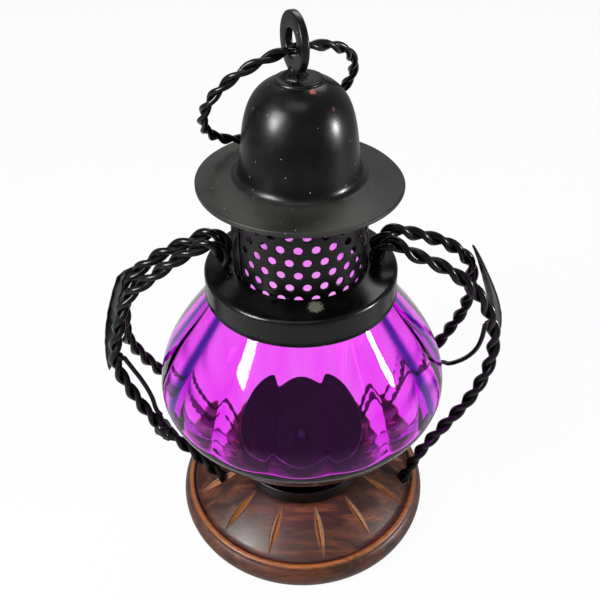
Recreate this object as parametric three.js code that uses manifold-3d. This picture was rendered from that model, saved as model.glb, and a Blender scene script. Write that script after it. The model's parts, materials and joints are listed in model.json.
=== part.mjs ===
// A tealight lantern: melon glass on a turned wooden base, with a black iron collar, vent gallery
// and hood, four twisted wire arms with two leaves, and a twisted wire ring to hang it by.
// Millimetres, +Z up. The origin is on the table under the middle of the base, the front is -Y.

import * as THREE from 'three';
import { mergeVertices } from 'three/addons/utils/BufferGeometryUtils.js';
import Module from 'manifold-3d';

const wasm = await Module();
wasm.setup();

// Clearances
const FIT = 0.3; // gap left between two formed pieces that meet
const SCREW_PLAY = 0.4; // gap round the screw's shank

// Wooden base
const BASE_RADIUS = 63.6;
const BASE_HEIGHT = 24.4;
const BASE_LAND_RADIUS = 33; // flat top that the seat stands on
const EDGE_RADIUS = 8; // rounded outer edge
const EDGE_START = -61; // degrees, where the edge leaves the table
const EDGE_END = 50; // degrees, where the bead begins
const BEAD_RADIUS = 1.5;
const BEAD_TURN = 165; // degrees, how far the bead rolls over into the cove
const COVE_WIDTH = 3;
const SLOPE_CROWN = 1.1; // how far the sloping top bulges above a straight line
const SLOPE_STEPS = 4; // facets down the slope
const GOUGE_COUNT = 13;
const GOUGE_LENGTH = 24;
const GOUGE_WIDTH = 2.8;
const GOUGE_DEPTH = 1.7;
const GOUGE_MIDDLE = 44.2; // radius that a gouge's middle lies at
const GOUGE_FIRST_ANGLE = 10; // degrees from the front towards +X
const SOCKET_DEPTH = 5; // how deep each arm's foot goes into the wood

// Seat of the glass
const SEAT_FOOT_RADIUS = 31.8;
const SEAT_RIM_RADIUS = 33.4;
const SEAT_FLARE = 0.3; // the wall leans out this much in its lower half
const SEAT_HEIGHT = 10.2;
const SEAT_WALL = 1.1;

// Glass globe
const GLASS_HEIGHT = 122.5;
const GLASS_RADIUS = 66; // at the crest of a lobe
const GLASS_WALL = 2.4;
const GLASS_EQUATOR = 61.8; // height of the widest ring above the glass's foot
const FOOT_NECK_RADIUS = 32.6;
const FOOT_NECK_HEIGHT = 12.5;
const TOP_NECK_RADIUS = 36.4;
const TOP_NECK_HEIGHT = 7.8;
const LOWER_SWELL = [[0.39, 0.4], [1, 0.857]]; // handles of the curve below the equator, as shares
const UPPER_SWELL = [[0.35, 0.32], [1, 0.66]]; // and of the one above it, from the neck
const LOBE_COUNT = 15;
const LOBE_DEPTH = 0.4; // how far a valley is drawn in on the outside
const RIB_DEPTH = 1.7; // the wall is this much thicker under a valley
const LOBE_STEPS = 4; // facets across one lobe
const LOBE_FADE = 0.6; // the smaller, the faster the lobes deepen from both necks
const LOBE_VALLEY_ANGLE = 11; // degrees from the front towards +X

// Collar that caps the glass
const COLLAR_SKIRT = 12.4; // height of its side
const COLLAR_WALL = 1.1;
const COLLAR_PLAY = 2.9; // gap between the glass neck and the skirt
const COLLAR_RISE = 1.3; // the plate climbs this much towards the middle
const COLLAR_EDGE_RADIUS = 1.7;
const COLLAR_FLARE = 0.5; // the skirt widens this much towards its foot
const WELL_DEPTH = 3.4; // pressed well that the gallery drops into
const WELL_LEDGE = 2.4; // width of the ledge that carries the gallery

// Perforated vent gallery
const GALLERY_RADIUS = 27.7;
const GALLERY_HEIGHT = 42.2;
const GALLERY_WALL = 0.8;
const VENT_PANELS = 10; // curved panels that the drum is cut into
const VENT_COLUMNS = 25;
const VENT_ROWS = 6;
const VENT_RADIUS = 1.68; // corner radius of a six-sided hole, narrow enough to stay on one facet
const VENT_ROW_PITCH = 5.75;
const VENT_FIRST_HEIGHT = 2.3; // lowest row above the gallery's lower edge
const VENT_FIRST_ANGLE = -2.1; // degrees from the front towards +X
const SEAM_ANGLE = -69; // the middle of the lapped seam, degrees from the front towards +X
const SEAM_WIDTH = 8.7;

// Hood
const BRIM_RADIUS = 40.8;
const BRIM_RISE = 1.7;
const BRIM_LIP = 2;
const BRIM_EDGE = 0.5; // bevel round the brim's upper edge
const DOME_RADIUS = 23.7;
const DOME_HEIGHT = 36.9; // above the inner end of the brim
const DOME_FILLET = 3;
const DOME_SHAPE = [[0.9, 0.42], [0.91, 0.86]]; // handles of the dome's curve, as shares of its size
const CAP_RADIUS = 9.2; // small raised disc under the eye
const CAP_HEIGHT = 1;
const CAP_EDGE = 0.3;
const HOOD_WALL = 1;

// Eye and ring
const EYE_RADIUS = 10.7;
const EYE_HOLE_RADIUS = 5;
const EYE_THICKNESS = 3;
const EYE_EDGE = 0.7; // rounding of the eye's corners
const EYE_SHIFT = -1.5; // the eye is brazed a little off the middle, along X
const BRAZE_RADIUS = 5;
const BRAZE_HEIGHT = 3;
const BRAZE_WAIST = [0.75, 0.4]; // where the mound of braze turns hollow, as shares of its size
const BRAZE_TOP_RADIUS = 2;
const BRAZE_GRIP = 2; // how deep the eye sits in the braze
const SWING_ANGLE = 22; // direction of the ring's hinge, degrees from +X towards +Y
const RING_STRAND = 2.15; // diameter of one of the ring's two wires
const RING_LENGTH = 56; // centre line, from the eye to the far end
const RING_WIDTH = 63; // centre line
const RING_LEAN = 6; // degrees, how far its right side stands higher than its left
const RING_TURNS = 10.5;
const RING_REACH = 0.55; // where the ring's far end rests, as a share of its length from the axis

// Twisted arms
const ARM_STRAND = 3.1; // diameter of one of an arm's two wires
const ARM_TURNS = 9.25;
const ARM_RISE = 10.2; // highest point above the collar's plate
const ARM_STANDOFF = 20; // how far the arms stand out past the glass
const ARM_SPACING = 9; // between the two roots on one side
const ARM_MARGIN = 1.1; // between a root and the gallery
const ARM_UPRIGHT = 0.55; // share of the rise that a root stands upright
const ARM_LEAN = 4.65; // how far the crown lies outside the root
const TWIST_STEPS = 8; // facets along one turn of the twist

// Leaves and tendrils
const LEAF_THICKNESS = 1;
const LEAF_CREASE = 0.8; // height of the middle vein
const LEAF_FULLNESS = 0.8; // the smaller, the rounder the leaf's ends
const LEAF_TIP = 0.05; // the least width, as a share of the greatest
const LEAF_STEPS = 12;
const TENDRIL_RADIUS = 1.1;

// Candle cup: a wide dish, as far across as the glass's neck lets in
const CUP_RADIUS = 31;
const CUP_FOOT_RADIUS = 24;
const CUP_HEIGHT = 13.2;
const CUP_WALL = 0.8;
const CUP_LIP = 0.7; // how far the rim stands out
const PILLAR_RADIUS = 9;
const PILLAR_HEIGHT = 12.5;
const PILLAR_WAIST = 0.75; // as a share of its radius
const PILLAR_END = 0.2; // height of each flared end, as a share of its own
const SCREW_RADIUS = 1.9;
const SCREW_HEAD_RADIUS = 4;
const SCREW_HEAD_HEIGHT = 2.2;
const SCREW_GRIP = 12; // length of the screw in the wood
const SCREW_TIP = 3; // length of its tapered end
const SCREW_TIP_RADIUS = 0.95;
const SCREW_CROWN = 0.6; // radius of the head's flat top, as a share of the head's

// Heights that follow from the sizes above
const seatFloor = BASE_HEIGHT + SEAT_WALL;
const glassTop = seatFloor + GLASS_HEIGHT;
const collarRadius = TOP_NECK_RADIUS + COLLAR_PLAY + COLLAR_WALL + COLLAR_FLARE;
const wellRadius = GALLERY_RADIUS + FIT;
const plateEdge = glassTop + FIT + COLLAR_WALL;
const plateTop = plateEdge + COLLAR_RISE;
const plateHeight = (radius) => plateTop - COLLAR_RISE * (radius - wellRadius) / (collarRadius - wellRadius);
const ledgeTop = plateTop - WELL_DEPTH;
const galleryBottom = ledgeTop + FIT;
const galleryTop = galleryBottom + GALLERY_HEIGHT;
const brimInner = galleryTop + FIT + HOOD_WALL;
const brimOuter = brimInner - BRIM_RISE;
const domeTop = brimInner + DOME_HEIGHT;
const capTop = domeTop + CAP_HEIGHT;
const eyeCentre = capTop + FIT + BRAZE_HEIGHT - BRAZE_GRIP + EYE_RADIUS;
const armReach = GLASS_RADIUS + ARM_STANDOFF;
const armRootRadius = wellRadius + ARM_STRAND + ARM_MARGIN;
const armCrown = plateTop + ARM_RISE;

const IRON = { color: 0x16171a, roughness: 0.38, metalness: 0.35 };
const WIRE = { color: 0x1a1b1c, roughness: 0.42, metalness: 0.3 };
const WOOD = { color: 0x5b3a29, roughness: 0.45, metalness: 0 };
const GLASS = { color: 0xc23be6, roughness: 0.04, metalness: 0 };
const STEEL = { color: 0x9a9a9e, roughness: 0.35, metalness: 0.9 };

const group = new THREE.Group();

function addPiece(name, geometry, material) {
  const mesh = new THREE.Mesh(geometry, new THREE.MeshStandardMaterial(material));
  mesh.name = name;
  group.add(mesh);
  return mesh;
}

const radians = THREE.MathUtils.degToRad;
const point = (x, y) => new THREE.Vector2(x, y);

// Basic operations on closed surfaces

// Merges doubled vertices, drops the slivers that a lathe leaves on its axis and faces it outward.
function closedBody(source) {
  let geometry = source;
  geometry.deleteAttribute('normal');
  geometry.deleteAttribute('uv');
  geometry = mergeVertices(geometry, 1e-4);
  const place = geometry.getAttribute('position');
  const corners = [];
  let volume = 0;
  const [a, b, c] = [new THREE.Vector3(), new THREE.Vector3(), new THREE.Vector3()];
  for (let i = 0; i < geometry.index.count; i += 3) {
    const triangle = [0, 1, 2].map((k) => geometry.index.getX(i + k));
    if (new Set(triangle).size === 3) {
      corners.push(triangle);
      a.fromBufferAttribute(place, triangle[0]);
      b.fromBufferAttribute(place, triangle[1]);
      c.fromBufferAttribute(place, triangle[2]);
      volume += a.dot(b.cross(c));
    }
  }
  if (volume < 0) {
    corners.forEach((triangle) => triangle.reverse());
  }
  geometry.setIndex(corners.flat());
  geometry.computeVertexNormals();
  return geometry;
}

function toSolid(source) {
  const geometry = closedBody(source);
  return new wasm.Manifold(new wasm.Mesh({
    numProp: 3,
    vertProperties: geometry.getAttribute('position').array,
    triVerts: new Uint32Array(geometry.index.array),
  }));
}

function toGeometry(solid) {
  const mesh = solid.getMesh();
  const geometry = new THREE.BufferGeometry();
  geometry.setAttribute('position', new THREE.BufferAttribute(mesh.vertProperties, 3));
  geometry.setIndex(new THREE.BufferAttribute(mesh.triVerts, 1));
  geometry.computeVertexNormals();
  return geometry;
}

// Turns an outline of (radius, height) points about the Z axis. Angles start at the front.
function revolve(outline, segments) {
  return closedBody(new THREE.LatheGeometry(outline, segments).rotateX(Math.PI / 2));
}

// Points on an arc, its ends included. Angles are in degrees.
function arc(x, y, radius, from, to, steps) {
  return Array.from({ length: steps + 1 }, (_, i) => {
    const angle = radians(from + (to - from) * i / steps);
    return point(x + radius * Math.cos(angle), y + radius * Math.sin(angle));
  });
}

// Moves each point of an open outline sideways, to the left of its direction.
function offset(outline, distance) {
  return outline.map((here, i) => {
    const before = outline[Math.max(i - 1, 0)];
    const after = outline[Math.min(i + 1, outline.length - 1)];
    const along = after.clone().sub(before).normalize();
    return point(Math.max(here.x - along.y * distance, 0), here.y + along.x * distance);
  });
}

// The height of an outline at a radius, between its points.
function heightOn(outline, radius) {
  for (let i = 1; i < outline.length; i += 1) {
    const [near, far] = [outline[i - 1], outline[i]];
    if ((near.x - radius) * (far.x - radius) <= 0 && near.x !== far.x) {
      return near.y + (far.y - near.y) * (radius - near.x) / (far.x - near.x);
    }
  }
  return outline.at(-1).y;
}

// Skins a row of sections with equally many points. A closed skin may meet itself turned by some points.
function loft(sections, closed = false, turnedBy = 0) {
  const count = sections[0].length;
  const rows = sections.length;
  const index = [];
  for (let i = 0; i < (closed ? rows : rows - 1); i += 1) {
    const last = i === rows - 1;
    for (let j = 0; j < count; j += 1) {
      const next = (j + 1) % count;
      const shift = last ? turnedBy : 0;
      const row = ((i + 1) % rows) * count;
      const [a, b] = [i * count + j, i * count + next];
      const [c, d] = [row + (next + shift) % count, row + (j + shift) % count];
      index.push(a, b, c, a, c, d);
    }
  }
  const geometry = new THREE.BufferGeometry();
  geometry.setFromPoints(sections.flat());
  if (!closed) {
    const [first, end] = [0, (rows - 1) * count];
    for (let j = 1; j + 1 < count; j += 1) {
      index.push(first, first + j + 1, first + j, end, end + j, end + j + 1);
    }
  }
  geometry.setIndex(index);
  return closedBody(geometry);
}

// The section of two wires that touch, as six points: a waist and two corners for each wire.
function pairSection(strand) {
  const radius = strand / 2;
  const corners = [point(radius * 1.8, -radius * 0.7), point(radius * 1.8, radius * 0.7)];
  const half = [point(0, -0.45 * radius), ...corners];
  return [...half, ...half.map((p) => p.clone().negate())];
}

// Two wires twisted together along a curve, right-handed. A closed one ends after a half turn.
function twistedPair(curve, strand, turns, closed = false) {
  const section = pairSection(strand);
  const steps = Math.round(turns * TWIST_STEPS);
  const frames = curve.computeFrenetFrames(steps, closed);
  const rows = Array.from({ length: closed ? steps : steps + 1 }, (_, i) => {
    const centre = curve.getPointAt(i / steps);
    const angle = 2 * Math.PI * turns * i / steps;
    return section.map((p) => {
      const spun = p.clone().rotateAround(point(0, 0), angle);
      const across = centre.clone().addScaledVector(frames.normals[i], spun.x);
      return across.addScaledVector(frames.binormals[i], spun.y);
    });
  });
  return loft(rows, closed, closed ? section.length / 2 : 0);
}

// A round bar of a given radius along a curve.
function bar(curve, radius, sides, steps) {
  const circle = new THREE.Shape(arc(0, 0, radius, 0, 360, sides).slice(0, -1));
  return closedBody(new THREE.ExtrudeGeometry(circle, { steps, extrudePath: curve, bevelEnabled: false }));
}

// Wooden base: its outline runs from the middle of the underside to the middle of the top
function baseOutline() {
  const edgeX = BASE_RADIUS - EDGE_RADIUS;
  const edgeY = -EDGE_RADIUS * Math.sin(radians(EDGE_START));
  const edge = arc(edgeX, edgeY, EDGE_RADIUS, EDGE_START, EDGE_END, 4);
  const crest = edge.at(-1);
  const bead = arc(crest.x - BEAD_RADIUS, crest.y, BEAD_RADIUS, 0, BEAD_TURN, 3).slice(1);
  const coveStart = bead.at(-1);
  const slopeStart = point(coveStart.x - COVE_WIDTH, coveStart.y + BEAD_RADIUS / 5);
  const slopeEnd = point(BASE_LAND_RADIUS, BASE_HEIGHT);
  const middle = slopeStart.clone().lerp(slopeEnd, 0.5);
  middle.y += 2 * SLOPE_CROWN;
  const slope = new THREE.QuadraticBezierCurve(slopeStart, middle, slopeEnd).getPoints(SLOPE_STEPS);
  return [point(0, 0), ...edge, ...bead, ...slope, point(0, BASE_HEIGHT)];
}

// A lens-shaped V cut into the sloping top, long along the radius.
function gougeCutter(top, index) {
  const [rim] = top;
  const fall = Math.atan2(BASE_HEIGHT - rim.y, rim.x - BASE_LAND_RADIUS);
  const cutter = new THREE.OctahedronGeometry(1);
  cutter.scale(GOUGE_WIDTH / 2, GOUGE_LENGTH / 2, GOUGE_DEPTH);
  cutter.rotateX(fall);
  cutter.translate(0, -GOUGE_MIDDLE, heightOn(top, GOUGE_MIDDLE));
  cutter.rotateZ(radians(GOUGE_FIRST_ANGLE + 360 * index / GOUGE_COUNT));
  return toSolid(cutter);
}

const screwHole = SCREW_RADIUS + SCREW_PLAY;
const baseTop = baseOutline().slice(-SLOPE_STEPS - 2);

function screwCutter(from, to) {
  const hole = new THREE.CylinderGeometry(screwHole, screwHole, to - from, 16).rotateX(Math.PI / 2);
  return toSolid(hole.translate(0, 0, (from + to) / 2));
}

// Arms: each route runs from the collar over the crown and down past the glass into the wood.
// Its free points are [share of the reach, Y, share of the way up from the base to the crown].
const ARM_ROUTES = {
  arm_left_front: {
    side: -1,
    rootY: -ARM_SPACING / 2,
    bends: [
      [0.569, -4.3, 0.959], [0.721, -4, 0.887], [0.884, -3.7, 0.791], [0.955, -3.7, 0.669],
      [1.006, -4.3, 0.531], [0.953, -6, 0.41], [0.831, -7.8, 0.25], [0.674, -9.4, 0.126],
    ],
    foot: [-0.661, -0.171],
  },
  arm_left_back: {
    side: -1,
    rootY: ARM_SPACING / 2,
    bends: [
      [0.531, 4.6, 0.974], [0.71, 4, 0.919], [0.871, 3.8, 0.825], [0.936, 4.5, 0.685],
      [0.969, 11, 0.538], [0.94, 15, 0.448], [0.865, 20, 0.327], [0.767, 25, 0.202],
    ],
    foot: [-0.669, 0.467],
  },
  arm_right_front: {
    side: 1,
    rootY: -ARM_SPACING / 2,
    bends: [
      [0.53, -6.4, 0.971], [0.706, -7.8, 0.918], [0.859, -8.8, 0.837], [0.971, -9, 0.711],
      [1, -9, 0.553], [0.935, -9.4, 0.387], [0.813, -9.8, 0.242], [0.687, -10, 0.089],
    ],
    foot: [0.829, -0.14],
  },
  arm_right_back: {
    side: 1,
    rootY: ARM_SPACING / 2,
    bends: [
      [0.599, 10, 0.958], [0.766, 14, 0.9], [0.891, 17.5, 0.813], [0.935, 22.5, 0.687],
      [0.928, 27.5, 0.545], [0.893, 30, 0.467], [0.853, 32, 0.393], [0.721, 35, 0.202],
    ],
    foot: [0.622, 0.56],
  },
};

// A free point of a route, in millimetres.
function routePoint(side, [reach, y, climb]) {
  return new THREE.Vector3(side * reach * armReach, y, BASE_HEIGHT + climb * (armCrown - BASE_HEIGHT));
}

// The centre line of an arm. It stands upright on the collar and sinks into the wood at its foot.
function armCurve({ side, rootY, bends, foot }) {
  const root = new THREE.Vector3(side * armRootRadius, rootY, plateHeight(armRootRadius - ARM_STRAND) + FIT);
  const rise = new THREE.Vector3(root.x, rootY, root.z + ARM_RISE * ARM_UPRIGHT);
  const crown = new THREE.Vector3(side * (armRootRadius + ARM_LEAN), rootY, armCrown);
  const free = bends.map((bend) => routePoint(side, bend));
  const [footX, footY] = foot.map((share) => share * BASE_RADIUS);
  const surface = new THREE.Vector3(footX, footY, heightOn(baseTop, Math.hypot(footX, footY)));
  const sinking = surface.clone().sub(free.at(-1)).normalize();
  const end = surface.clone().addScaledVector(sinking, SOCKET_DEPTH);
  return new THREE.CatmullRomCurve3([root, rise, crown, ...free, surface, end], false, 'centripetal');
}

const armCurves = {};
for (const [name, route] of Object.entries(ARM_ROUTES)) {
  armCurves[name] = armCurve(route);
  addPiece(name, twistedPair(armCurves[name], ARM_STRAND, ARM_TURNS), WIRE);
}

// The last stretch of a curve, lengthened straight on at its end.
class Ending extends THREE.Curve {
  constructor(curve, start, extra) {
    super();
    this.curve = curve;
    this.start = start;
    this.extra = extra;
  }

  getPoint(t, target = new THREE.Vector3()) {
    const length = this.curve.getLength();
    const along = this.start + (length + this.extra - this.start) * t;
    target.copy(this.curve.getPointAt(Math.min(along / length, 1)));
    return target.addScaledVector(this.curve.getTangentAt(1), Math.max(along - length, 0));
  }
}

// The bore that takes an arm's foot. It reaches a little above the wood.
function socketCutter(curve) {
  const start = curve.getLength() - SOCKET_DEPTH - ARM_STRAND * 2;
  return toSolid(bar(new Ending(curve, start, FIT), ARM_STRAND + FIT * 1.4, 12, 5));
}

function woodenBase() {
  let solid = toSolid(revolve(baseOutline(), 40));
  for (let i = 0; i < GOUGE_COUNT; i += 1) {
    solid = solid.subtract(gougeCutter(baseTop, i));
  }
  for (const curve of Object.values(armCurves)) {
    solid = solid.subtract(socketCutter(curve));
  }
  solid = solid.subtract(screwCutter(BASE_HEIGHT - SCREW_GRIP - FIT, BASE_HEIGHT + 1));
  return toGeometry(solid);
}

addPiece('wooden_base', woodenBase(), WOOD);

// Seat: a pressed dish that flares to its rim, open in the middle for the screw
const seatMiddle = BASE_HEIGHT + SEAT_HEIGHT / 2;
const seatRim = BASE_HEIGHT + SEAT_HEIGHT;
const seatInside = [
  point(SEAT_FOOT_RADIUS - SEAT_WALL, seatFloor),
  point(SEAT_FOOT_RADIUS + SEAT_FLARE - SEAT_WALL, seatMiddle),
  point(SEAT_RIM_RADIUS - SEAT_WALL, seatRim),
];
const seatOutside = [
  point(SEAT_FOOT_RADIUS, BASE_HEIGHT),
  point(SEAT_FOOT_RADIUS + SEAT_FLARE, seatMiddle),
  point(SEAT_RIM_RADIUS, seatRim),
];

addPiece('glass_seat', revolve([
  ...seatOutside, ...seatInside.toReversed(),
  point(screwHole, seatFloor), point(screwHole, BASE_HEIGHT), seatOutside[0],
], 30), IRON);

// Glass: the outer outline swells from the foot to the equator and closes in to the neck
function glassOutline(lowerSteps, upperSteps) {
  const footEnd = point(FOOT_NECK_RADIUS, seatFloor + FOOT_NECK_HEIGHT);
  const neckStart = point(TOP_NECK_RADIUS, glassTop - TOP_NECK_HEIGHT);
  const equator = point(GLASS_RADIUS, seatFloor + GLASS_EQUATOR);
  const swell = (from, shares) => shares.map(([radial, upright]) => point(
    from.x + (GLASS_RADIUS - from.x) * radial,
    from.y + (equator.y - from.y) * upright,
  ));
  const lower = new THREE.CubicBezierCurve(footEnd, ...swell(footEnd, LOWER_SWELL), equator);
  const upper = new THREE.CubicBezierCurve(equator, ...swell(neckStart, UPPER_SWELL).reverse(), neckStart);
  const foot = seatInside.map((p) => point(p.x - FIT, p.y));
  const neck = point(TOP_NECK_RADIUS, glassTop);
  return [...foot, ...lower.getPoints(lowerSteps), ...upper.getPoints(upperSteps).slice(1), neck];
}

// How far a lobe's surface is drawn in, 0 on its crest, by the angle from a valley.
function lobeDip(angle) {
  return 1 - Math.abs(Math.sin(LOBE_COUNT * angle / 2));
}

function glassGlobe() {
  const outside = glassOutline(4, 5);
  const inside = offset(glassOutline(3, 3).toSpliced(1, 1), GLASS_WALL).reverse();
  inside[0].setY(glassTop);
  inside.at(-1).setY(seatFloor);
  const outline = [...outside, ...inside, outside[0]];
  const lathe = new THREE.LatheGeometry(outline, LOBE_COUNT * LOBE_STEPS).rotateX(Math.PI / 2);
  const place = lathe.getAttribute('position');
  const low = seatFloor + FOOT_NECK_HEIGHT;
  const high = glassTop - TOP_NECK_HEIGHT;
  for (let i = 0; i < place.count; i += 1) {
    const [x, y, z] = [place.getX(i), place.getY(i), place.getZ(i)];
    const climb = THREE.MathUtils.clamp((z - low) / (high - low), 0, 1);
    const onInside = inside.includes(outline[i % outline.length]);
    const depth = LOBE_DEPTH + (onInside ? RIB_DEPTH : 0);
    const dip = depth * Math.sin(Math.PI * climb) ** LOBE_FADE * lobeDip(Math.atan2(x, -y));
    const shrink = 1 - dip / Math.hypot(x, y);
    place.setXY(i, x * shrink, y * shrink);
  }
  return closedBody(lathe.rotateZ(radians(LOBE_VALLEY_ANGLE)));
}

addPiece('glass_globe', glassGlobe(), GLASS);

// Collar: a skirt, a slightly climbing plate, and a pressed well with a ledge for the gallery
function collarOutline() {
  const bend = COLLAR_EDGE_RADIUS;
  const skirtFoot = plateEdge - COLLAR_SKIRT;
  const inner = collarRadius - COLLAR_WALL;
  return [
    point(collarRadius + COLLAR_FLARE, skirtFoot),
    ...arc(collarRadius - bend, plateEdge - bend, bend, 0, 80, 3),
    point(wellRadius, plateTop),
    point(wellRadius, ledgeTop),
    point(wellRadius - WELL_LEDGE, ledgeTop),
    point(wellRadius - WELL_LEDGE, ledgeTop - COLLAR_WALL),
    point(wellRadius + COLLAR_WALL, ledgeTop - COLLAR_WALL),
    point(wellRadius + COLLAR_WALL, plateTop - COLLAR_WALL),
    point(inner - bend / 2, plateEdge - COLLAR_WALL),
    point(inner, plateEdge - bend),
    point(inner + COLLAR_FLARE, skirtFoot),
    point(collarRadius + COLLAR_FLARE, skirtFoot),
  ];
}

addPiece('top_collar', revolve(collarOutline(), 36), IRON);

// Gallery: a perforated strip rolled into a drum, lapped and seamed on its left side, in panels
function ventAngle(row, column) {
  const stagger = row % 2 ? 0.5 : 0;
  return VENT_FIRST_ANGLE + 360 * (column + stagger) / VENT_COLUMNS;
}

function ventCutter(row, column) {
  const prism = new THREE.CylinderGeometry(VENT_RADIUS, VENT_RADIUS, 4 * GALLERY_WALL, 6);
  prism.rotateY(radians(30));
  const height = galleryBottom + VENT_FIRST_HEIGHT + row * VENT_ROW_PITCH;
  prism.translate(0, GALLERY_WALL / 2 - GALLERY_RADIUS, height);
  prism.rotateZ(radians(ventAngle(row, column)));
  return toSolid(prism);
}

// The angle between two directions in degrees, from 0 to 180.
function angleBetween(one, other) {
  return Math.abs(THREE.MathUtils.euclideanModulo(one - other + 180, 360) - 180);
}

// The second layer of the lapped seam, from above the collar to the top.
function seamStrip() {
  const half = THREE.MathUtils.radToDeg(SEAM_WIDTH / 2 / GALLERY_RADIUS);
  const outer = arc(0, 0, GALLERY_RADIUS + GALLERY_WALL, -90 - half, -90 + half, 3);
  const inner = arc(0, 0, GALLERY_RADIUS - GALLERY_WALL / 2, -90 + half, -90 - half, 3);
  const bottom = plateTop + FIT;
  const strip = new THREE.ExtrudeGeometry(new THREE.Shape([...outer, ...inner]), {
    depth: galleryTop - bottom,
    bevelEnabled: false,
  });
  return toSolid(strip.translate(0, 0, bottom).rotateZ(radians(SEAM_ANGLE)));
}

function ventGallery() {
  const inner = GALLERY_RADIUS - GALLERY_WALL;
  const wall = [
    point(GALLERY_RADIUS, galleryBottom), point(GALLERY_RADIUS, galleryTop),
    point(inner, galleryTop), point(inner, galleryBottom), point(GALLERY_RADIUS, galleryBottom),
  ];
  const drum = revolve(wall, 2 * VENT_COLUMNS);
  drum.rotateZ(radians(VENT_FIRST_ANGLE + 90 / VENT_COLUMNS));
  const covered = THREE.MathUtils.radToDeg((SEAM_WIDTH / 2 + VENT_RADIUS) / GALLERY_RADIUS);
  const cutters = [];
  for (let row = 0; row < VENT_ROWS; row += 1) {
    for (let column = 0; column < VENT_COLUMNS; column += 1) {
      if (angleBetween(ventAngle(row, column), SEAM_ANGLE) > covered) {
        cutters.push(ventCutter(row, column));
      }
    }
  }
  return toSolid(drum).subtract(wasm.Manifold.union(cutters)).add(seamStrip());
}

// The share of the drum inside one wedge. Its sides run through the middles of every other row's holes.
function galleryPanel(drum, index) {
  const width = 360 / VENT_PANELS;
  const first = VENT_FIRST_ANGLE - 90 + width * index;
  const sides = arc(0, 0, 2 * GALLERY_RADIUS, first, first + width, 1);
  const wedge = new THREE.ExtrudeGeometry(new THREE.Shape([point(0, 0), ...sides]), {
    depth: 2 * GALLERY_HEIGHT,
    bevelEnabled: false,
  });
  return drum.intersect(toSolid(wedge.translate(0, 0, galleryBottom - GALLERY_HEIGHT / 2)));
}

const gallery = ventGallery();
for (let i = 0; i < VENT_PANELS; i += 1) {
  addPiece(`vent_gallery_${i + 1}`, toGeometry(galleryPanel(gallery, i)), IRON);
}

// Hood: a dome on a nearly flat brim with a turned-down lip
function hoodOutline(domeSteps) {
  const brimInside = DOME_RADIUS + DOME_FILLET;
  const dome = new THREE.CubicBezierCurve(
    point(DOME_RADIUS, brimInner + DOME_FILLET / 2),
    ...DOME_SHAPE.map(([across, up]) => point(DOME_RADIUS * across, brimInner + DOME_HEIGHT * up)),
    point(CAP_RADIUS, domeTop),
  );
  return [
    point(BRIM_RADIUS, brimOuter - BRIM_LIP),
    point(BRIM_RADIUS, brimOuter - BRIM_EDGE),
    point(BRIM_RADIUS - BRIM_EDGE, brimOuter),
    point(brimInside, brimInner),
    ...dome.getPoints(domeSteps),
    point(CAP_RADIUS - CAP_EDGE, capTop - CAP_EDGE),
    point(0, capTop),
  ];
}

function hood() {
  const outside = hoodOutline(8);
  const inside = offset(hoodOutline(5), HOOD_WALL).reverse();
  inside[0].set(0, capTop - HOOD_WALL);
  inside.at(-1).set(BRIM_RADIUS - HOOD_WALL, brimOuter - BRIM_LIP);
  return revolve([...outside, ...inside, outside[0]], 32);
}

addPiece('hood', hood(), IRON);

// Eye: a thick washer on a mound of braze
function hangingEye() {
  const half = EYE_THICKNESS / 2;
  const section = [
    point(EYE_HOLE_RADIUS, -half + EYE_EDGE), point(EYE_HOLE_RADIUS + EYE_EDGE, -half),
    point(EYE_RADIUS - EYE_EDGE, -half), point(EYE_RADIUS, -half + EYE_EDGE),
    point(EYE_RADIUS, half - EYE_EDGE), point(EYE_RADIUS - EYE_EDGE, half),
    point(EYE_HOLE_RADIUS + EYE_EDGE, half), point(EYE_HOLE_RADIUS, half - EYE_EDGE),
  ];
  const washer = revolve([...section, section[0]], 24);
  washer.rotateY(Math.PI / 2);
  washer.rotateZ(radians(SWING_ANGLE));
  washer.translate(EYE_SHIFT, 0, eyeCentre);
  const foot = capTop + FIT;
  const mound = revolve([
    point(0, foot), point(BRAZE_RADIUS, foot),
    point(BRAZE_RADIUS * BRAZE_WAIST[0], foot + BRAZE_HEIGHT * BRAZE_WAIST[1]),
    point(BRAZE_TOP_RADIUS, foot + BRAZE_HEIGHT), point(0, foot + BRAZE_HEIGHT),
  ], 16);
  mound.translate(EYE_SHIFT, 0, 0);
  return toGeometry(toSolid(washer).add(toSolid(mound)));
}

addPiece('hanging_eye', hangingEye(), IRON);

// Ring: an oval of twisted wire through the eye, its far end lying on the brim behind the dome
const ringPivot = eyeCentre - EYE_HOLE_RADIUS + RING_STRAND + 2 * FIT;
const ringRest = heightOn(hoodOutline(8), RING_LENGTH * RING_REACH);
const ringDrop = ringPivot - (ringRest + RING_STRAND + FIT);
const ringSlope = Math.asin(Math.min(ringDrop / RING_LENGTH, 1));

class Oval extends THREE.Curve {
  getPoint(t, target = new THREE.Vector3()) {
    const angle = 2 * Math.PI * t;
    const away = RING_LENGTH / 2 * (1 - Math.cos(angle));
    return target.set(RING_WIDTH / 2 * Math.sin(angle), away, 0);
  }
}

function hangingRing() {
  const geometry = twistedPair(new Oval(), RING_STRAND, RING_TURNS, true);
  geometry.rotateY(-radians(RING_LEAN));
  geometry.rotateX(-ringSlope);
  geometry.rotateZ(radians(SWING_ANGLE));
  geometry.translate(EYE_SHIFT, 0, ringPivot);
  return geometry;
}

addPiece('hanging_ring', hangingRing(), WIRE);

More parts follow.
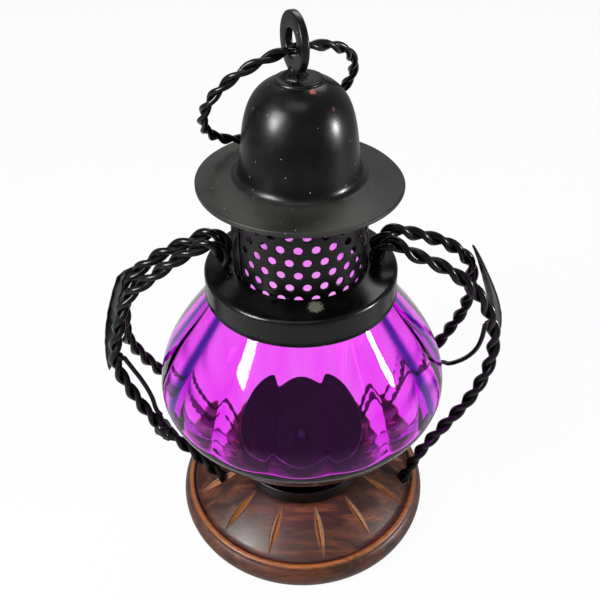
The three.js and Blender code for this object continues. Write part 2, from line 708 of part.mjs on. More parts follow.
// Leaves: thin bent blades brazed to the outside of an arm. The left one is cut off blunt at its top.
// A leaf reaches above and below its weld. It is shifted along Y, turned about its length, tilted.
const LEAVES = {
  leaf_left: {
    arm: 'arm_left_back', side: -1, weld: 0.4, above: 23, below: 42, width: 15, cut: 0.25,
    bendRadius: 600, braze: 1.4, shift: 1.5, turn: 30, lean: 6,
  },
  leaf_right: {
    arm: 'arm_right_back', side: 1, weld: 0.35, above: 24, below: 32, width: 20, cut: 0,
    bendRadius: 150, braze: 0.1, shift: -12, turn: -9, lean: -9,
  },
};

function leaf({ arm, side, weld, above, below, width, cut, bendRadius, braze, shift, turn, lean }) {
  const curve = armCurves[arm];
  const down = curve.getTangentAt(weld).setY(0).normalize();
  const outward = new THREE.Vector3(0, -side, 0).cross(down).normalize();
  const back = new THREE.Vector3(0, 1, 0);
  outward.applyAxisAngle(down, radians(turn));
  back.applyAxisAngle(down, radians(turn));
  down.applyAxisAngle(back, radians(lean));
  outward.applyAxisAngle(back, radians(lean));
  const centre = curve.getPointAt(weld);
  centre.addScaledVector(outward, ARM_STRAND + braze + LEAF_THICKNESS / 2);
  centre.addScaledVector(back, shift);
  const rows = Array.from({ length: LEAF_STEPS + 1 }, (_, i) => {
    const t = i / LEAF_STEPS;
    const bend = (-above + (above + below) * t) / bendRadius;
    const fullness = Math.sin(Math.PI * (cut + (1 - cut) * t)) ** LEAF_FULLNESS;
    const half = width / 2 * Math.max(fullness, LEAF_TIP);
    const crease = LEAF_CREASE * 2 * half / width;
    const spine = centre.clone();
    spine.addScaledVector(down, bendRadius * Math.sin(bend));
    spine.addScaledVector(outward, -bendRadius * (1 - Math.cos(bend)));
    const lift = outward.clone().multiplyScalar(Math.cos(bend)).addScaledVector(down, Math.sin(bend));
    const under = [[-half, 0], [0, crease], [half, 0]];
    const over = under.map(([across, up]) => [across, up + LEAF_THICKNESS]).reverse();
    return [...under, ...over].map(([across, up]) => {
      const place = spine.clone().addScaledVector(back, across);
      return place.addScaledVector(lift, up - LEAF_THICKNESS / 2);
    });
  });
  return loft(rows);
}

for (const [name, values] of Object.entries(LEAVES)) {
  addPiece(name, leaf(values), IRON);
}

// Tendrils: thin wires that bow away from an arm. Each end stops against the arm it is brazed to.
const TENDRILS = {
  tendril_left: {
    side: -1,
    ends: [['arm_left_front', 0.5], ['arm_left_front', 0.72]],
    bends: [[0.93, -2.4, 0.485], [0.886, -2.6, 0.42], [0.85, -3.4, 0.35], [0.83, -5, 0.293]],
  },
  tendril_right: {
    side: 1,
    ends: [['arm_right_front', 0.4], ['arm_right_back', 0.8]],
    bends: [
      [0.951, -4, 0.62], [0.947, -1, 0.555], [0.926, 3, 0.491],
      [0.893, 8, 0.432], [0.854, 13, 0.385], [0.826, 19, 0.35],
    ],
  },
};

function tendril({ side, ends, bends }) {
  const free = bends.map((bend) => routePoint(side, bend));
  const [start, end] = ends.map(([arm, share], i) => {
    const seat = armCurves[arm].getPointAt(share);
    const along = armCurves[arm].getTangentAt(share);
    const leaving = (i === 0 ? free[0] : free.at(-1)).clone().sub(seat).normalize();
    const slant = leaving.dot(along);
    const away = leaving.addScaledVector(along, -slant).normalize();
    return seat.addScaledVector(away, ARM_STRAND + FIT + TENDRIL_RADIUS * Math.abs(slant));
  });
  const curve = new THREE.CatmullRomCurve3([start, ...free, end], false, 'centripetal');
  return bar(curve, TENDRIL_RADIUS, 6, 18);
}

for (const [name, values] of Object.entries(TENDRILS)) {
  addPiece(name, tendril(values), WIRE);
}

// Candle cup on a pillar, held down by one screw into the wood
const cupFloor = seatFloor + PILLAR_HEIGHT;

addPiece('cup_pillar', revolve([
  point(PILLAR_RADIUS, seatFloor),
  point(PILLAR_RADIUS * PILLAR_WAIST, seatFloor + PILLAR_HEIGHT * PILLAR_END),
  point(PILLAR_RADIUS * PILLAR_WAIST, cupFloor - PILLAR_HEIGHT * PILLAR_END),
  point(PILLAR_RADIUS, cupFloor),
  point(screwHole, cupFloor), point(screwHole, seatFloor), point(PILLAR_RADIUS, seatFloor),
], 18), IRON);

addPiece('candle_cup', revolve([
  point(screwHole, cupFloor), point(CUP_FOOT_RADIUS, cupFloor),
  point(CUP_RADIUS, cupFloor + CUP_HEIGHT - CUP_LIP), point(CUP_RADIUS + CUP_LIP, cupFloor + CUP_HEIGHT),
  point(CUP_RADIUS - CUP_WALL, cupFloor + CUP_HEIGHT), point(CUP_FOOT_RADIUS - CUP_WALL, cupFloor + CUP_WALL),
  point(screwHole, cupFloor + CUP_WALL), point(screwHole, cupFloor),
], 28), IRON);

const screwSeat = cupFloor + CUP_WALL;
addPiece('cup_screw', revolve([
  point(0, BASE_HEIGHT - SCREW_GRIP), point(SCREW_TIP_RADIUS, BASE_HEIGHT - SCREW_GRIP),
  point(SCREW_RADIUS, BASE_HEIGHT - SCREW_GRIP + SCREW_TIP), point(SCREW_RADIUS, screwSeat),
  point(SCREW_HEAD_RADIUS, screwSeat), point(SCREW_HEAD_RADIUS, screwSeat + SCREW_HEAD_HEIGHT / 2),
  point(SCREW_HEAD_RADIUS * SCREW_CROWN, screwSeat + SCREW_HEAD_HEIGHT),
  point(0, screwSeat + SCREW_HEAD_HEIGHT),
], 16), STEEL);

export default group;
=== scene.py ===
"""Looks of a tealight lantern: melon glass on a turned wooden base, black iron collar, pierced gallery
and domed hood, twisted wire arms with two leaves, and a twisted wire ring.

Sizes are in millimetres and turned to metres when a mesh is written. The front is -Y, the table is z = 0.
"""
import json

import bmesh
import bpy
import numpy as np
from mathutils import Matrix, Vector


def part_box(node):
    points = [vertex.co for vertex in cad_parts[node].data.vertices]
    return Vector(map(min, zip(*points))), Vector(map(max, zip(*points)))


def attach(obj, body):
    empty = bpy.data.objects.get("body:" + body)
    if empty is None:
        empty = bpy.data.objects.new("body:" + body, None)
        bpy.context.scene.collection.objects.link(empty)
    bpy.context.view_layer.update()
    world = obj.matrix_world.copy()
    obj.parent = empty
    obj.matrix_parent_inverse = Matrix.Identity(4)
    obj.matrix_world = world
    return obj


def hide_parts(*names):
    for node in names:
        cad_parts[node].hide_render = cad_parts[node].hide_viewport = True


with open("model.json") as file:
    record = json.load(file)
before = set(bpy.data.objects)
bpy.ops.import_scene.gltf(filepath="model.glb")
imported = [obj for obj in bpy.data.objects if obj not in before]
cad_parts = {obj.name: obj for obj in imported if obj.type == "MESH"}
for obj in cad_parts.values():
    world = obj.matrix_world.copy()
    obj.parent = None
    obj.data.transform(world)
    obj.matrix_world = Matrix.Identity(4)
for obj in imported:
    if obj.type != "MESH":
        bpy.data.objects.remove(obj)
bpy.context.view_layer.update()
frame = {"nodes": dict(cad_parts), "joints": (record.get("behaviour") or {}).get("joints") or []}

MM = 0.001
TURN = 2 * np.pi


# Sizes that the frame gives

def lowest(node, axis=2):
    """The node's lowest place along an axis, in millimetres."""
    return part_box(node)[0][axis] / MM


def highest(node, axis=2):
    """The node's highest place along an axis, in millimetres."""
    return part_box(node)[1][axis] / MM


def reach(node):
    """How far a round node's box stands out from the Z axis, in millimetres."""
    return max(abs(value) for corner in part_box(node) for value in corner[:2]) / MM


BASE_RADIUS = reach("wooden_base")
BASE_TOP = highest("wooden_base")
SEAT_RADIUS = reach("glass_seat")
SEAT_TOP = highest("glass_seat")
GLASS_RADIUS = reach("glass_globe")
GLASS_FOOT = lowest("glass_globe")
GLASS_TOP = highest("glass_globe")
COLLAR_RADIUS = reach("top_collar")
COLLAR_FOOT = lowest("top_collar")
COLLAR_TOP = highest("top_collar")
GALLERY_PANELS = sorted(name for name in frame["nodes"] if name.startswith("vent_gallery"))
GALLERY_FOOT = lowest(GALLERY_PANELS[0])
GALLERY_TOP = highest(GALLERY_PANELS[0])
GALLERY_RADIUS = max(highest(panel, 0) for panel in GALLERY_PANELS)
BRIM_RADIUS = reach("hood")
BRIM_FOOT = lowest("hood")
CAP_TOP = highest("hood")
EYE_TOP = highest("hanging_eye")
CUP_FLOOR = lowest("candle_cup")
CUP_TOP = highest("candle_cup")
CUP_RADIUS = reach("candle_cup")
RING_JOINT = next(joint for joint in frame["joints"] if joint["name"] == "ring_swing")


# Curves and profiles, as arrays of points

def arc(x, y, radius, start, end, count):
    """Points at even angles, in degrees, round a centre."""
    angle = np.radians(np.linspace(start, end, count))
    return np.stack([x + radius * np.cos(angle), y + radius * np.sin(angle)], -1)


def bezier(points, count):
    """A cubic Bezier curve through its first and last point, with even steps of its parameter."""
    t = np.linspace(0, 1, count)[:, None]
    a, b, c, d = np.asarray(points, float)
    return (1 - t) ** 3 * a + 3 * t * (1 - t) ** 2 * b + 3 * t ** 2 * (1 - t) * c + t ** 3 * d


def line(start, end, count):
    """Evenly spaced points on a straight line."""
    t = np.linspace(0, 1, count)[:, None]
    return np.asarray(start, float) * (1 - t) + np.asarray(end, float) * t


def joined(*pieces):
    """The pieces of a profile one after another, without doubled points."""
    points = np.concatenate([np.atleast_2d(piece) for piece in pieces])
    step = np.linalg.norm(np.diff(points, axis=0), axis=1)
    return points[np.concatenate([[True], step > 1e-4])]


def unit(vectors):
    """A vector, or each row of an array of them, at length 1."""
    return vectors / np.linalg.norm(vectors, axis=-1, keepdims=True)


def moved_in(profile, distance):
    """A profile moved to the left of its direction by a distance, kept off the far side of the axis."""
    along = unit(np.gradient(profile, axis=0))
    shifted = profile + distance * np.stack([-along[:, 1], along[:, 0]], -1)
    shifted[:, 0] = np.maximum(shifted[:, 0], 0)
    return shifted


def even(path, count):
    """A path sampled again at even lengths."""
    length = np.concatenate([[0], np.cumsum(np.linalg.norm(np.diff(path, axis=0), axis=1))])
    at = np.linspace(0, length[-1], count)
    return np.stack([np.interp(at, length, path[:, k]) for k in range(path.shape[1])], -1)


def through(points, count):
    """A centripetal Catmull-Rom curve through points, sampled at even lengths.

    Each stretch between two points is a cubic Hermite curve. Its end slopes weigh the chords on either
    side by the square root of their lengths, and a mirrored point stands in past each end.
    """
    p = np.asarray(points, float)
    p = np.concatenate([[2 * p[0] - p[1]], p, [2 * p[-1] - p[-2]]])
    gap = np.sqrt(np.linalg.norm(np.diff(p, axis=0), axis=1))[:, None]
    before, here, after = gap[:-2], gap[1:-1], gap[2:]
    p0, p1, p2, p3 = p[:-3], p[1:-2], p[2:-1], p[3:]
    m1 = ((p1 - p0) / before - (p2 - p0) / (before + here) + (p2 - p1) / here) * here
    m2 = ((p2 - p1) / here - (p3 - p1) / (here + after) + (p3 - p2) / after) * here
    t = np.linspace(0, 1, 60, endpoint=False)[:, None, None]
    curve = ((2 * t ** 3 - 3 * t ** 2 + 1) * p1 + (t ** 3 - 2 * t ** 2 + t) * m1
             + (-2 * t ** 3 + 3 * t ** 2) * p2 + (t ** 3 - t ** 2) * m2)
    curve = curve.transpose(1, 0, 2).reshape(-1, p.shape[1])
    return even(np.concatenate([curve, p[-2:-1]]), count)


# Meshes

def add_object(name, data):
    """An object with its data, put into the scene."""
    thing = bpy.data.objects.new(name, data)
    bpy.context.scene.collection.objects.link(thing)
    return thing


def make_piece(name, points, faces, finish, body, stands_for=(), cut=None):
    """Writes a mesh in metres, closes its seams and poles, faces it outward and sets it on its body.

    A number for each point, such as a gouge's depth, goes into the mesh's own attribute cut.
    """
    mesh = bpy.data.meshes.new(name)
    mesh.from_pydata((points * MM).tolist(), [], faces.tolist())
    if cut is not None:
        mesh.attributes.new("cut", "FLOAT", "POINT").data.foreach_set("value", cut.ravel())
    work = bmesh.new()
    work.from_mesh(mesh)
    bmesh.ops.remove_doubles(work, verts=work.verts, dist=2e-6)
    bmesh.ops.recalc_face_normals(work, faces=work.faces)
    work.to_mesh(mesh)
    work.free()
    mesh.shade_smooth()
    mesh.materials.append(finish)
    piece = add_object(name, mesh)
    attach(piece, body)
    if stands_for:
        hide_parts(*stands_for)
    return piece


def grid_faces(rows, columns, wrap_rows, wrap_columns, first=0):
    """The quads of a grid of points. A wrapped direction joins its last points to its first."""
    r = np.arange(rows if wrap_rows else rows - 1)[:, None]
    c = np.arange(columns if wrap_columns else columns - 1)[None, :]
    next_r, next_c = (r + 1) % rows, (c + 1) % columns
    corners = [r * columns + c, r * columns + next_c, next_r * columns + next_c, next_r * columns + c]
    return first + np.stack(np.broadcast_arrays(*corners), -1).reshape(-1, 4)


def grid_piece(name, grid, finish, body, stands_for=(), wrap_rows=False, cut=None):
    """A piece made of one grid of points, whose rows each go all the way round."""
    faces = grid_faces(*grid.shape[:2], wrap_rows, True)
    return make_piece(name, grid.reshape(-1, 3), faces, finish, body, stands_for, cut)


def around_z(radius, angle, height):
    """Points about the Z axis: x = r sin(a), y = -r cos(a), with a = 0 at the front."""
    return np.stack(np.broadcast_arrays(radius * np.sin(angle), -radius * np.cos(angle), height), -1)


def turned_grid(profile, angle):
    """A profile of (radius, height) turned about Z."""
    return around_z(profile[:, :1], angle, profile[:, 1:])


def capped(grid):
    """A grid whose first and last row each close at their middle."""
    ends = np.repeat(grid[[0, -1]].mean(axis=1, keepdims=True), grid.shape[1], axis=1)
    return np.concatenate([ends[:1], grid, ends[1:]])


def even_angles(count):
    """Angles round a full turn, the last one short of the first."""
    return np.linspace(0, TURN, count, endpoint=False)


def turned(name, profile, finish, body, stands_for=(), steps=160, closed=True):
    """A turned piece. A closed profile comes back to its start; an open one runs from axis to axis."""
    return grid_piece(name, turned_grid(profile, even_angles(steps)), finish, body, stands_for, closed)


def slopes(path, closed=False):
    """Unit tangents of a path. A closed path gives its first point once."""
    along = np.roll(path, -1, axis=0) - np.roll(path, 1, axis=0) if closed else np.gradient(path, axis=0)
    return unit(along)


def frames_along(path, guide, closed=False):
    """Normals and binormals along a path: N is the guide made square to the tangent T, and B = T x N."""
    tangent = slopes(path, closed)
    normal = unit(guide - (tangent @ guide)[:, None] * tangent)
    return normal, np.cross(tangent, normal)


def tube_grid(path, guide, radius, sides):
    """A circle carried along a path: path + radius (cos(b) N + sin(b) B), its radius given for each step."""
    normal, binormal = frames_along(path, guide)
    around = even_angles(sides)[None, :, None]
    across = np.cos(around) * normal[:, None] + np.sin(around) * binormal[:, None]
    return path[:, None] + across * radius[:, None, None]


def round_ends(path, radius, length):
    """The radius along a path whose two ends close as half ellipses of the given length."""
    step = np.linalg.norm(np.diff(path, axis=0), axis=1)
    run = np.concatenate([[0], np.cumsum(step)])
    nearest = np.minimum(run, run[-1] - run)
    inside = np.clip(1 - nearest / length, 0, 1)
    return radius * np.sqrt(np.clip(1 - inside ** 2, 0, 1))


def twisted_grid(centre, guide, strand, turns, sides, phase=0.0, closed=False):
    """One wire of a twisted pair, right-handed about its centre line.

    The wire's own line is C + s/2 (cos(p) N + sin(p) B), with p growing by one turn for each turn of the
    pair, and its round section is carried on the frame of that line: C' + s/2 (cos(q) R + sin(q) S).
    """
    normal, binormal = frames_along(centre, guide, closed)
    p = phase + TURN * turns * np.linspace(0, 1, len(centre), endpoint=not closed)[:, None]
    outward = np.cos(p) * normal + np.sin(p) * binormal
    wire = centre + strand / 2 * outward
    along = slopes(wire, closed)
    side = unit(np.cross(along, outward))
    up = np.cross(side, along)
    q = even_angles(sides)[None, :, None]
    radius = np.full(len(wire), strand / 2) if closed else round_ends(wire, strand / 2, strand / 3)
    return wire[:, None] + radius[:, None, None] * (np.cos(q) * up[:, None] + np.sin(q) * side[:, None])


# Materials

def linear(code):
    """An sRGB hex colour as linear RGBA."""
    value = np.array([int(code[k:k + 2], 16) for k in (0, 2, 4)]) / 255
    value = np.where(value <= 0.04045, value / 12.92, ((value + 0.055) / 1.055) ** 2.4)
    return (*value.tolist(), 1.0)


class Tree:
    """The node tree of a material or the world, with a method for each kind of node that is used often."""

    def __init__(self, owner):
        owner.use_nodes = True
        self.nodes, self.links = owner.node_tree.nodes, owner.node_tree.links
        self.nodes.clear()

    def add(self, kind, sockets, **properties):
        """Adds a node. Each socket named gets a value, or a link from another node's output."""
        node = self.nodes.new(kind)
        for name, value in properties.items():
            setattr(node, name, value)
        for key, value in sockets.items():
            if isinstance(value, bpy.types.NodeSocket):
                self.links.new(value, node.inputs[key])
            else:
                node.inputs[key].default_value = value
        return node

    def noise(self, place, size, detail, **more):
        """Cloudy noise, about 0 to 1, whose largest clouds are near a size in millimetres."""
        sockets = {"Vector": place, "Scale": 1 / (size * MM), "Detail": detail, **more}
        return self.add("ShaderNodeTexNoise", sockets).outputs["Fac"]

    def stretched(self, place, length, width, turn):
        """A place in units of a grain's length along X and its width across, turned about Z."""
        sockets = {"Vector": place, "Scale": (1 / length, 1 / width, 1 / width), "Rotation": (0, 0, turn)}
        return self.add("ShaderNodeMapping", sockets).outputs[0]

    def maths(self, operation, *values):
        return self.add("ShaderNodeMath", dict(enumerate(values)), operation=operation).outputs[0]

    def flat(self, place):
        """A place moved straight to z = 0."""
        return self.add("ShaderNodeVectorMath", {0: place, 1: (1, 1, 0)}, operation="MULTIPLY").outputs[0]

    def radius(self, place):
        """How far a place is from the Z axis."""
        return self.add("ShaderNodeVectorMath", {0: self.flat(place)}, operation="LENGTH").outputs["Value"]

    def mapped(self, value, low, high, start=0.0, end=1.0, kind="LINEAR"):
        """A value taken from low and high to start and end, and held there beyond them."""
        sockets = {"Value": value, "From Min": low, "From Max": high, "To Min": start, "To Max": end}
        return self.add("ShaderNodeMapRange", sockets, interpolation_type=kind).outputs[0]

    def ramp(self, value, *stops):
        """Colours that blend along a value. A stop is a place and a hex colour."""
        node = self.add("ShaderNodeValToRGB", {0: value})
        for place, _ in stops[2:]:
            node.color_ramp.elements.new(place)
        for element, (place, code) in zip(node.color_ramp.elements, stops):
            element.position = place
            element.color = linear(code)
        return node.outputs["Color"]

    def over(self, under, code, share):
        """A hex colour laid over another colour by a share."""
        sockets = {0: share, 6: under, 7: linear(code)}
        return self.add("ShaderNodeMix", sockets, data_type="RGBA").outputs[2]

    def bump(self, height, strength, depth):
        sockets = {"Height": height, "Strength": strength, "Distance": depth * MM}
        return self.add("ShaderNodeBump", sockets).outputs[0]

    def principled(self, sockets):
        return self.add("ShaderNodeBsdfPrincipled", sockets).outputs[0]

    def mixed(self, share, first, second):
        """Two shaders, with the second by a share."""
        return self.add("ShaderNodeMixShader", {0: share, 1: first, 2: second}).outputs[0]

    def end(self, surface, kind="ShaderNodeOutputMaterial", **more):
        self.add(kind, {"Surface": surface, **more})


def new_material(name):
    """A material, its empty node tree, and places on the object in it."""
    material = bpy.data.materials.new(name)
    tree = Tree(material)
    return material, tree, tree.add("ShaderNodeTexCoord", {}).outputs["Object"]


def patch(tree, place, centre, radius, ragged):
    """A mask that is 1 inside a ragged patch round a point, all in millimetres."""
    centre = tuple(value * MM for value in centre)
    gap = tree.add("ShaderNodeVectorMath", {0: place, 1: centre}, operation="DISTANCE").outputs["Value"]
    bent = tree.maths("MULTIPLY_ADD", tree.noise(place, ragged, 3.0), 1.6 * radius * MM, gap)
    return tree.mapped(bent, 1.7 * radius * MM, 1.8 * radius * MM, 1.0, 0.0)


def black_enamel(name, gloss, dust, peel, patches=(), matt_from=None):
    """Sprayed black enamel on iron: deep black, fine orange peel, a few dust specks and a dusty outer part
    with a painted sheen.

    A patch is (centre, radius, raggedness, colour): a chip down to the primer, or lint in the paint.
    Beyond the radius matt_from the film is dusty and rough, so it shines wide there, and its paler grey
    colour is part dust film, part painted sheen for the grey haze of reflected light.
    """
    material, tree, place = new_material(name)
    cloud = tree.noise(place, 14, 5.0, Roughness=0.62)
    speck = tree.add("ShaderNodeTexVoronoi", {"Vector": place, "Scale": 1 / (1.3 * MM)}).outputs
    spot = tree.mapped(speck["Distance"], 0.1, 0.19, 1.0, 0.0)
    rare = tree.maths("GREATER_THAN", speck["Color"], 1 - dust)
    film = tree.ramp(cloud, (0.45, "030303"), (0.8, "0b0c0d"))
    colour = tree.over(film, "8d8d84", tree.maths("MULTIPLY", spot, rare))
    for centre, radius, ragged, shade in patches:
        colour = tree.over(colour, shade, patch(tree, place, centre, radius, ragged))
    rough = tree.mapped(cloud, 0.35, 0.75, gloss, gloss + 0.12)
    if matt_from:
        # Past matt_from the colour turns paler grey: dust film and painted sheen together.
        outer = tree.mapped(tree.radius(place), matt_from * MM, (matt_from + 4) * MM, kind="SMOOTHSTEP")
        dust_and_sheen = tree.mapped(tree.noise(place, 28, 4.0), 0.35, 0.65, 0.15, 0.8)
        colour = tree.over(colour, "2b2b28", tree.maths("MULTIPLY", outer, dust_and_sheen))
        rough = tree.maths("MULTIPLY_ADD", outer, 0.2, rough)
    tree.end(tree.principled({"IOR": 1.5, "Specular IOR Level": 0.2, "Base Color": colour, "Roughness": rough,
                              "Normal": tree.bump(tree.noise(place, 1.1, 2.0), peel, 0.06)}))
    return material


def stained_wood():
    """Turned hardwood, stained dark and waxed: long grain along X, paler where it is rubbed or carved.

    The rub mask is a band of radius round the bead, broken up by the grain. The mesh's own attribute cut
    says how deep a gouge is, from 0 to 1, and the stain is thin there.
    """
    material, tree, place = new_material("stained_waxed_hardwood")
    grain = tree.noise(tree.stretched(place, 60, 5, GRAIN_TURN), 1, 8.0, Roughness=0.68, Distortion=0.6)
    pores = tree.noise(tree.stretched(place, 9, 0.7, GRAIN_TURN), 1, 4.0, Roughness=0.6)
    stain = tree.ramp(grain, (0.3, "170b06"), (0.46, "2b150b"), (0.6, "45220f"), (0.76, "6b3b1a"))
    sockets = {0: 1.0, 6: stain, 7: tree.mapped(pores, 0.36, 0.5, 0.45, 1.0)}
    colour = tree.add("ShaderNodeMix", sockets, data_type="RGBA", blend_type="MULTIPLY").outputs[2]
    off_bead = tree.maths("ABSOLUTE", tree.maths("SUBTRACT", tree.radius(place), BEAD_LINE * MM))
    band = tree.mapped(off_bead, 0.4 * MM, 1.7 * MM, 1.0, 0.0, "SMOOTHSTEP")
    broken = tree.mapped(pores, 0.35, 0.55, 0.25, 1.0)
    colour = tree.over(colour, "7a4720", tree.maths("MULTIPLY", band, broken))
    cut = tree.add("ShaderNodeAttribute", {}, attribute_name="cut").outputs["Fac"]
    colour = tree.over(colour, "7d4e26", tree.maths("MULTIPLY", cut, broken))
    tree.end(tree.principled({"IOR": 1.5, "Specular IOR Level": 0.3, "Base Color": colour,
                              "Roughness": tree.mapped(grain, 0.3, 0.7, 0.34, 0.5),
                              "Normal": tree.bump(pores, 0.35, 0.15)}))
    return material


def violet_glass():
    """Blown soda glass dyed through, magenta where thin; an indigo tint on the upper ribs of the left and
    right sides is painted shade for the deeper colour the sides show as they turn away.

    The rib mask falls off with |sin(15 a / 2)|, where a is the angle from a valley of the glass.
    """
    material, tree, place = new_material("violet_blown_glass")
    axes = tree.add("ShaderNodeSeparateXYZ", {0: place}).outputs
    turn = tree.maths("ARCTAN2", axes["X"], tree.maths("MULTIPLY", axes["Y"], -1.0))
    swing = tree.maths("SINE", tree.maths("MULTIPLY_ADD", turn, LOBES / 2, -LOBES / 2 * VALLEY_ANGLE))
    rib = tree.mapped(tree.maths("ABSOLUTE", swing), 0.1, 0.7, 1.0, 0.0, "SMOOTHSTEP")
    share = tree.maths("DIVIDE", tree.maths("ABSOLUTE", turn), np.pi)
    # Painted shade: the indigo is kept to the left and right sides, about 45 to 120 degrees off the front,
    # and to the globe above about 60 to 90 mm.
    side = tree.ramp(share, (0.24, "000000"), (0.33, "ffffff"), (0.52, "ffffff"), (0.66, "000000"))
    high = tree.mapped(axes["Z"], 60 * MM, 90 * MM, kind="SMOOTHSTEP")
    painted_side_shade = tree.maths("MULTIPLY", tree.maths("MULTIPLY", rib, side), high)
    shader = tree.principled({"IOR": 1.5, "Roughness": 0.0, "Transmission Weight": 1.0,
                              "Specular Tint": GLASS_SHEEN,
                              "Base Color": tree.over(linear("ffffff"), "2c2f8c", painted_side_shade)})
    dye = tree.add("ShaderNodeVolumeAbsorption", {"Color": GLASS_DYE, "Density": GLASS_DENSITY})
    tree.end(shader, Volume=dye.outputs[0])
    return material


def sooty_tin():
    """A tin dish, black with candle soot inside and still bright on its outer side and rim.

    The outer side is where the normal points away from the axis.
    """
    material, tree, place = new_material("sooty_tin")
    cloud = tree.noise(place, 6, 4.0)
    inside = tree.principled({"IOR": 1.5, "Specular IOR Level": 0.1,
                              "Base Color": tree.ramp(cloud, (0.4, "020202"), (0.75, "080809")),
                              "Roughness": tree.mapped(cloud, 0, 1, 0.5, 0.7)})
    outside = tree.principled({"Base Color": linear("3c3d42"), "Metallic": 1.0,
                               "Roughness": tree.mapped(cloud, 0, 1, 0.22, 0.4)})
    sockets = {0: tree.add("ShaderNodeTexCoord", {}).outputs["Normal"], 1: tree.flat(place)}
    toward = tree.add("ShaderNodeVectorMath", sockets, operation="DOT_PRODUCT").outputs["Value"]
    tree.end(tree.mixed(tree.maths("GREATER_THAN", toward, 0.0), inside, outside))
    return material


def blackened_steel():
    """Oxide-blackened steel of the screw: a dark grey metal with a soft blur."""
    material, tree, place = new_material("blackened_steel")
    tree.end(tree.principled({"Base Color": linear("2a2b2e"), "Metallic": 1.0,
                              "Roughness": tree.mapped(tree.noise(place, 1.5, 3.0), 0, 1, 0.35, 0.55)}))
    return material


BEAD_LINE = BASE_RADIUS - 4.3
GRAIN_TURN = 0.35
LOBES = 15
VALLEY_ANGLE = np.radians(11)
GLASS_DYE = (0.95, 0.05, 0.98, 1.0)
GLASS_DENSITY = 400.0
GLASS_SHEEN = (0.36, 0.26, 0.42, 1.0)
PRIMER_CHIPS = [((4.6, -9.8, 227.2), 1.2, 0.9, "6e3a33"), ((11.5, -12.2, 221.7), 0.9, 0.7, "5e302c")]
LINT = [((5.5, -32.3, 150.3), 3, 0.55, "46473e")]

HOOD_ENAMEL = black_enamel("dusty_gloss_black_enamel_painted_sheen", gloss=0.24, dust=0.16, peel=0.25, patches=PRIMER_CHIPS,
                           matt_from=24)
COLLAR_ENAMEL = black_enamel("linty_black_enamel", gloss=0.2, dust=0.08, peel=0.3, patches=LINT)
IRON_ENAMEL = black_enamel("satin_black_enamel", gloss=0.26, dust=0.08, peel=0.4)
WIRE_ENAMEL = black_enamel("wire_black_enamel", gloss=0.2, dust=0.05, peel=0.3)
WOOD = stained_wood()
VIOLET = violet_glass()
SOOT = sooty_tin()
DARK_STEEL = blackened_steel()


# Wooden base

EDGE_RADIUS = 8
EDGE_START = -61
EDGE_END = 50
BEAD_RADIUS = 1.5
BEAD_TURN = 165
COVE_WIDTH = 3
SLOPE_CROWN = 1.1
LAND_RADIUS = 33
GOUGES = 13
GOUGE_LENGTH = 24
GOUGE_WIDTH = 3.8
GOUGE_DEPTH = 2.3
GOUGE_MIDDLE = 44.2
GOUGE_ANGLE = np.radians(10)


def base_profile():
    """Flat underside, bullnose edge, bead, cove and a slope that bulges up to the flat land on top."""
    edge_x = BASE_RADIUS - EDGE_RADIUS
    edge_y = -EDGE_RADIUS * np.sin(np.radians(EDGE_START))
    edge = arc(edge_x, edge_y, EDGE_RADIUS, EDGE_START, EDGE_END, 26)
    bead = arc(edge[-1, 0] - BEAD_RADIUS, edge[-1, 1], BEAD_RADIUS, 0, BEAD_TURN, 14)
    start = bead[-1] + (-COVE_WIDTH, BEAD_RADIUS / 5)
    cove = bezier([bead[-1], bead[-1] + (-0.5, -0.9), start + (0.9, -0.5), start], 8)
    end = np.array([LAND_RADIUS, BASE_TOP])
    middle = (start + end) / 2 + (0, 2 * SLOPE_CROWN)
    slope = bezier([start, (start + 2 * middle) / 3, (end + 2 * middle) / 3, end], 64)
    under = line((0, 0), edge[0], 8)
    return joined(under, edge, bead, cove, slope, line(end, (0, BASE_TOP), 8)), slope


def wooden_base():
    """The turned base with its V gouges.

    A gouge's depth is D (1 - |2s/L|^2 - 2|w|/W), where s runs down the slope from the gouge's middle and
    w across it. Columns crowd towards each gouge as 0.2 p + 0.8 p^3.
    """
    profile, slope = base_profile()
    half = TURN / GOUGES / 2
    p = np.linspace(-1, 1, 52, endpoint=False)
    local = (0.2 * p + 0.8 * p ** 3) * half
    angle = (GOUGE_ANGLE + np.arange(GOUGES)[:, None] * 2 * half + local).ravel()
    grid = turned_grid(profile, angle)
    fall = unit(slope[-1] - slope[0])
    down = (GOUGE_MIDDLE - profile[:, 0]) / -fall[0]
    across = profile[:, 0][:, None] * np.tile(local, GOUGES)
    taper = np.abs(2 * down[:, None] / GOUGE_LENGTH) ** 2
    depth = GOUGE_DEPTH * (1 - taper - 2 * np.abs(across) / GOUGE_WIDTH)
    on_slope = (profile[:, 0] > LAND_RADIUS - 0.5) & (profile[:, 1] > slope[0, 1] - 0.5)
    depth = np.clip(depth, 0, None) * on_slope[:, None]
    grid[..., 2] -= depth
    return grid_piece("turned_base", grid, WOOD, "lantern", ["wooden_base"],
                      cut=np.clip(2.5 * depth / GOUGE_DEPTH, 0, 1))


wooden_base()


# Seat, cup, pillar and screw

SEAT_WALL = 1.1
SEAT_FOOT_RADIUS = SEAT_RADIUS - 1.6
CUP_WALL = 0.8
CUP_BEAD = 0.7
CUP_FOOT_RADIUS = 24
HOLE_RADIUS = 2.3
PILLAR_WAIST = 0.7
SCREW_RADIUS = 1.9
SCREW_TIP = 3


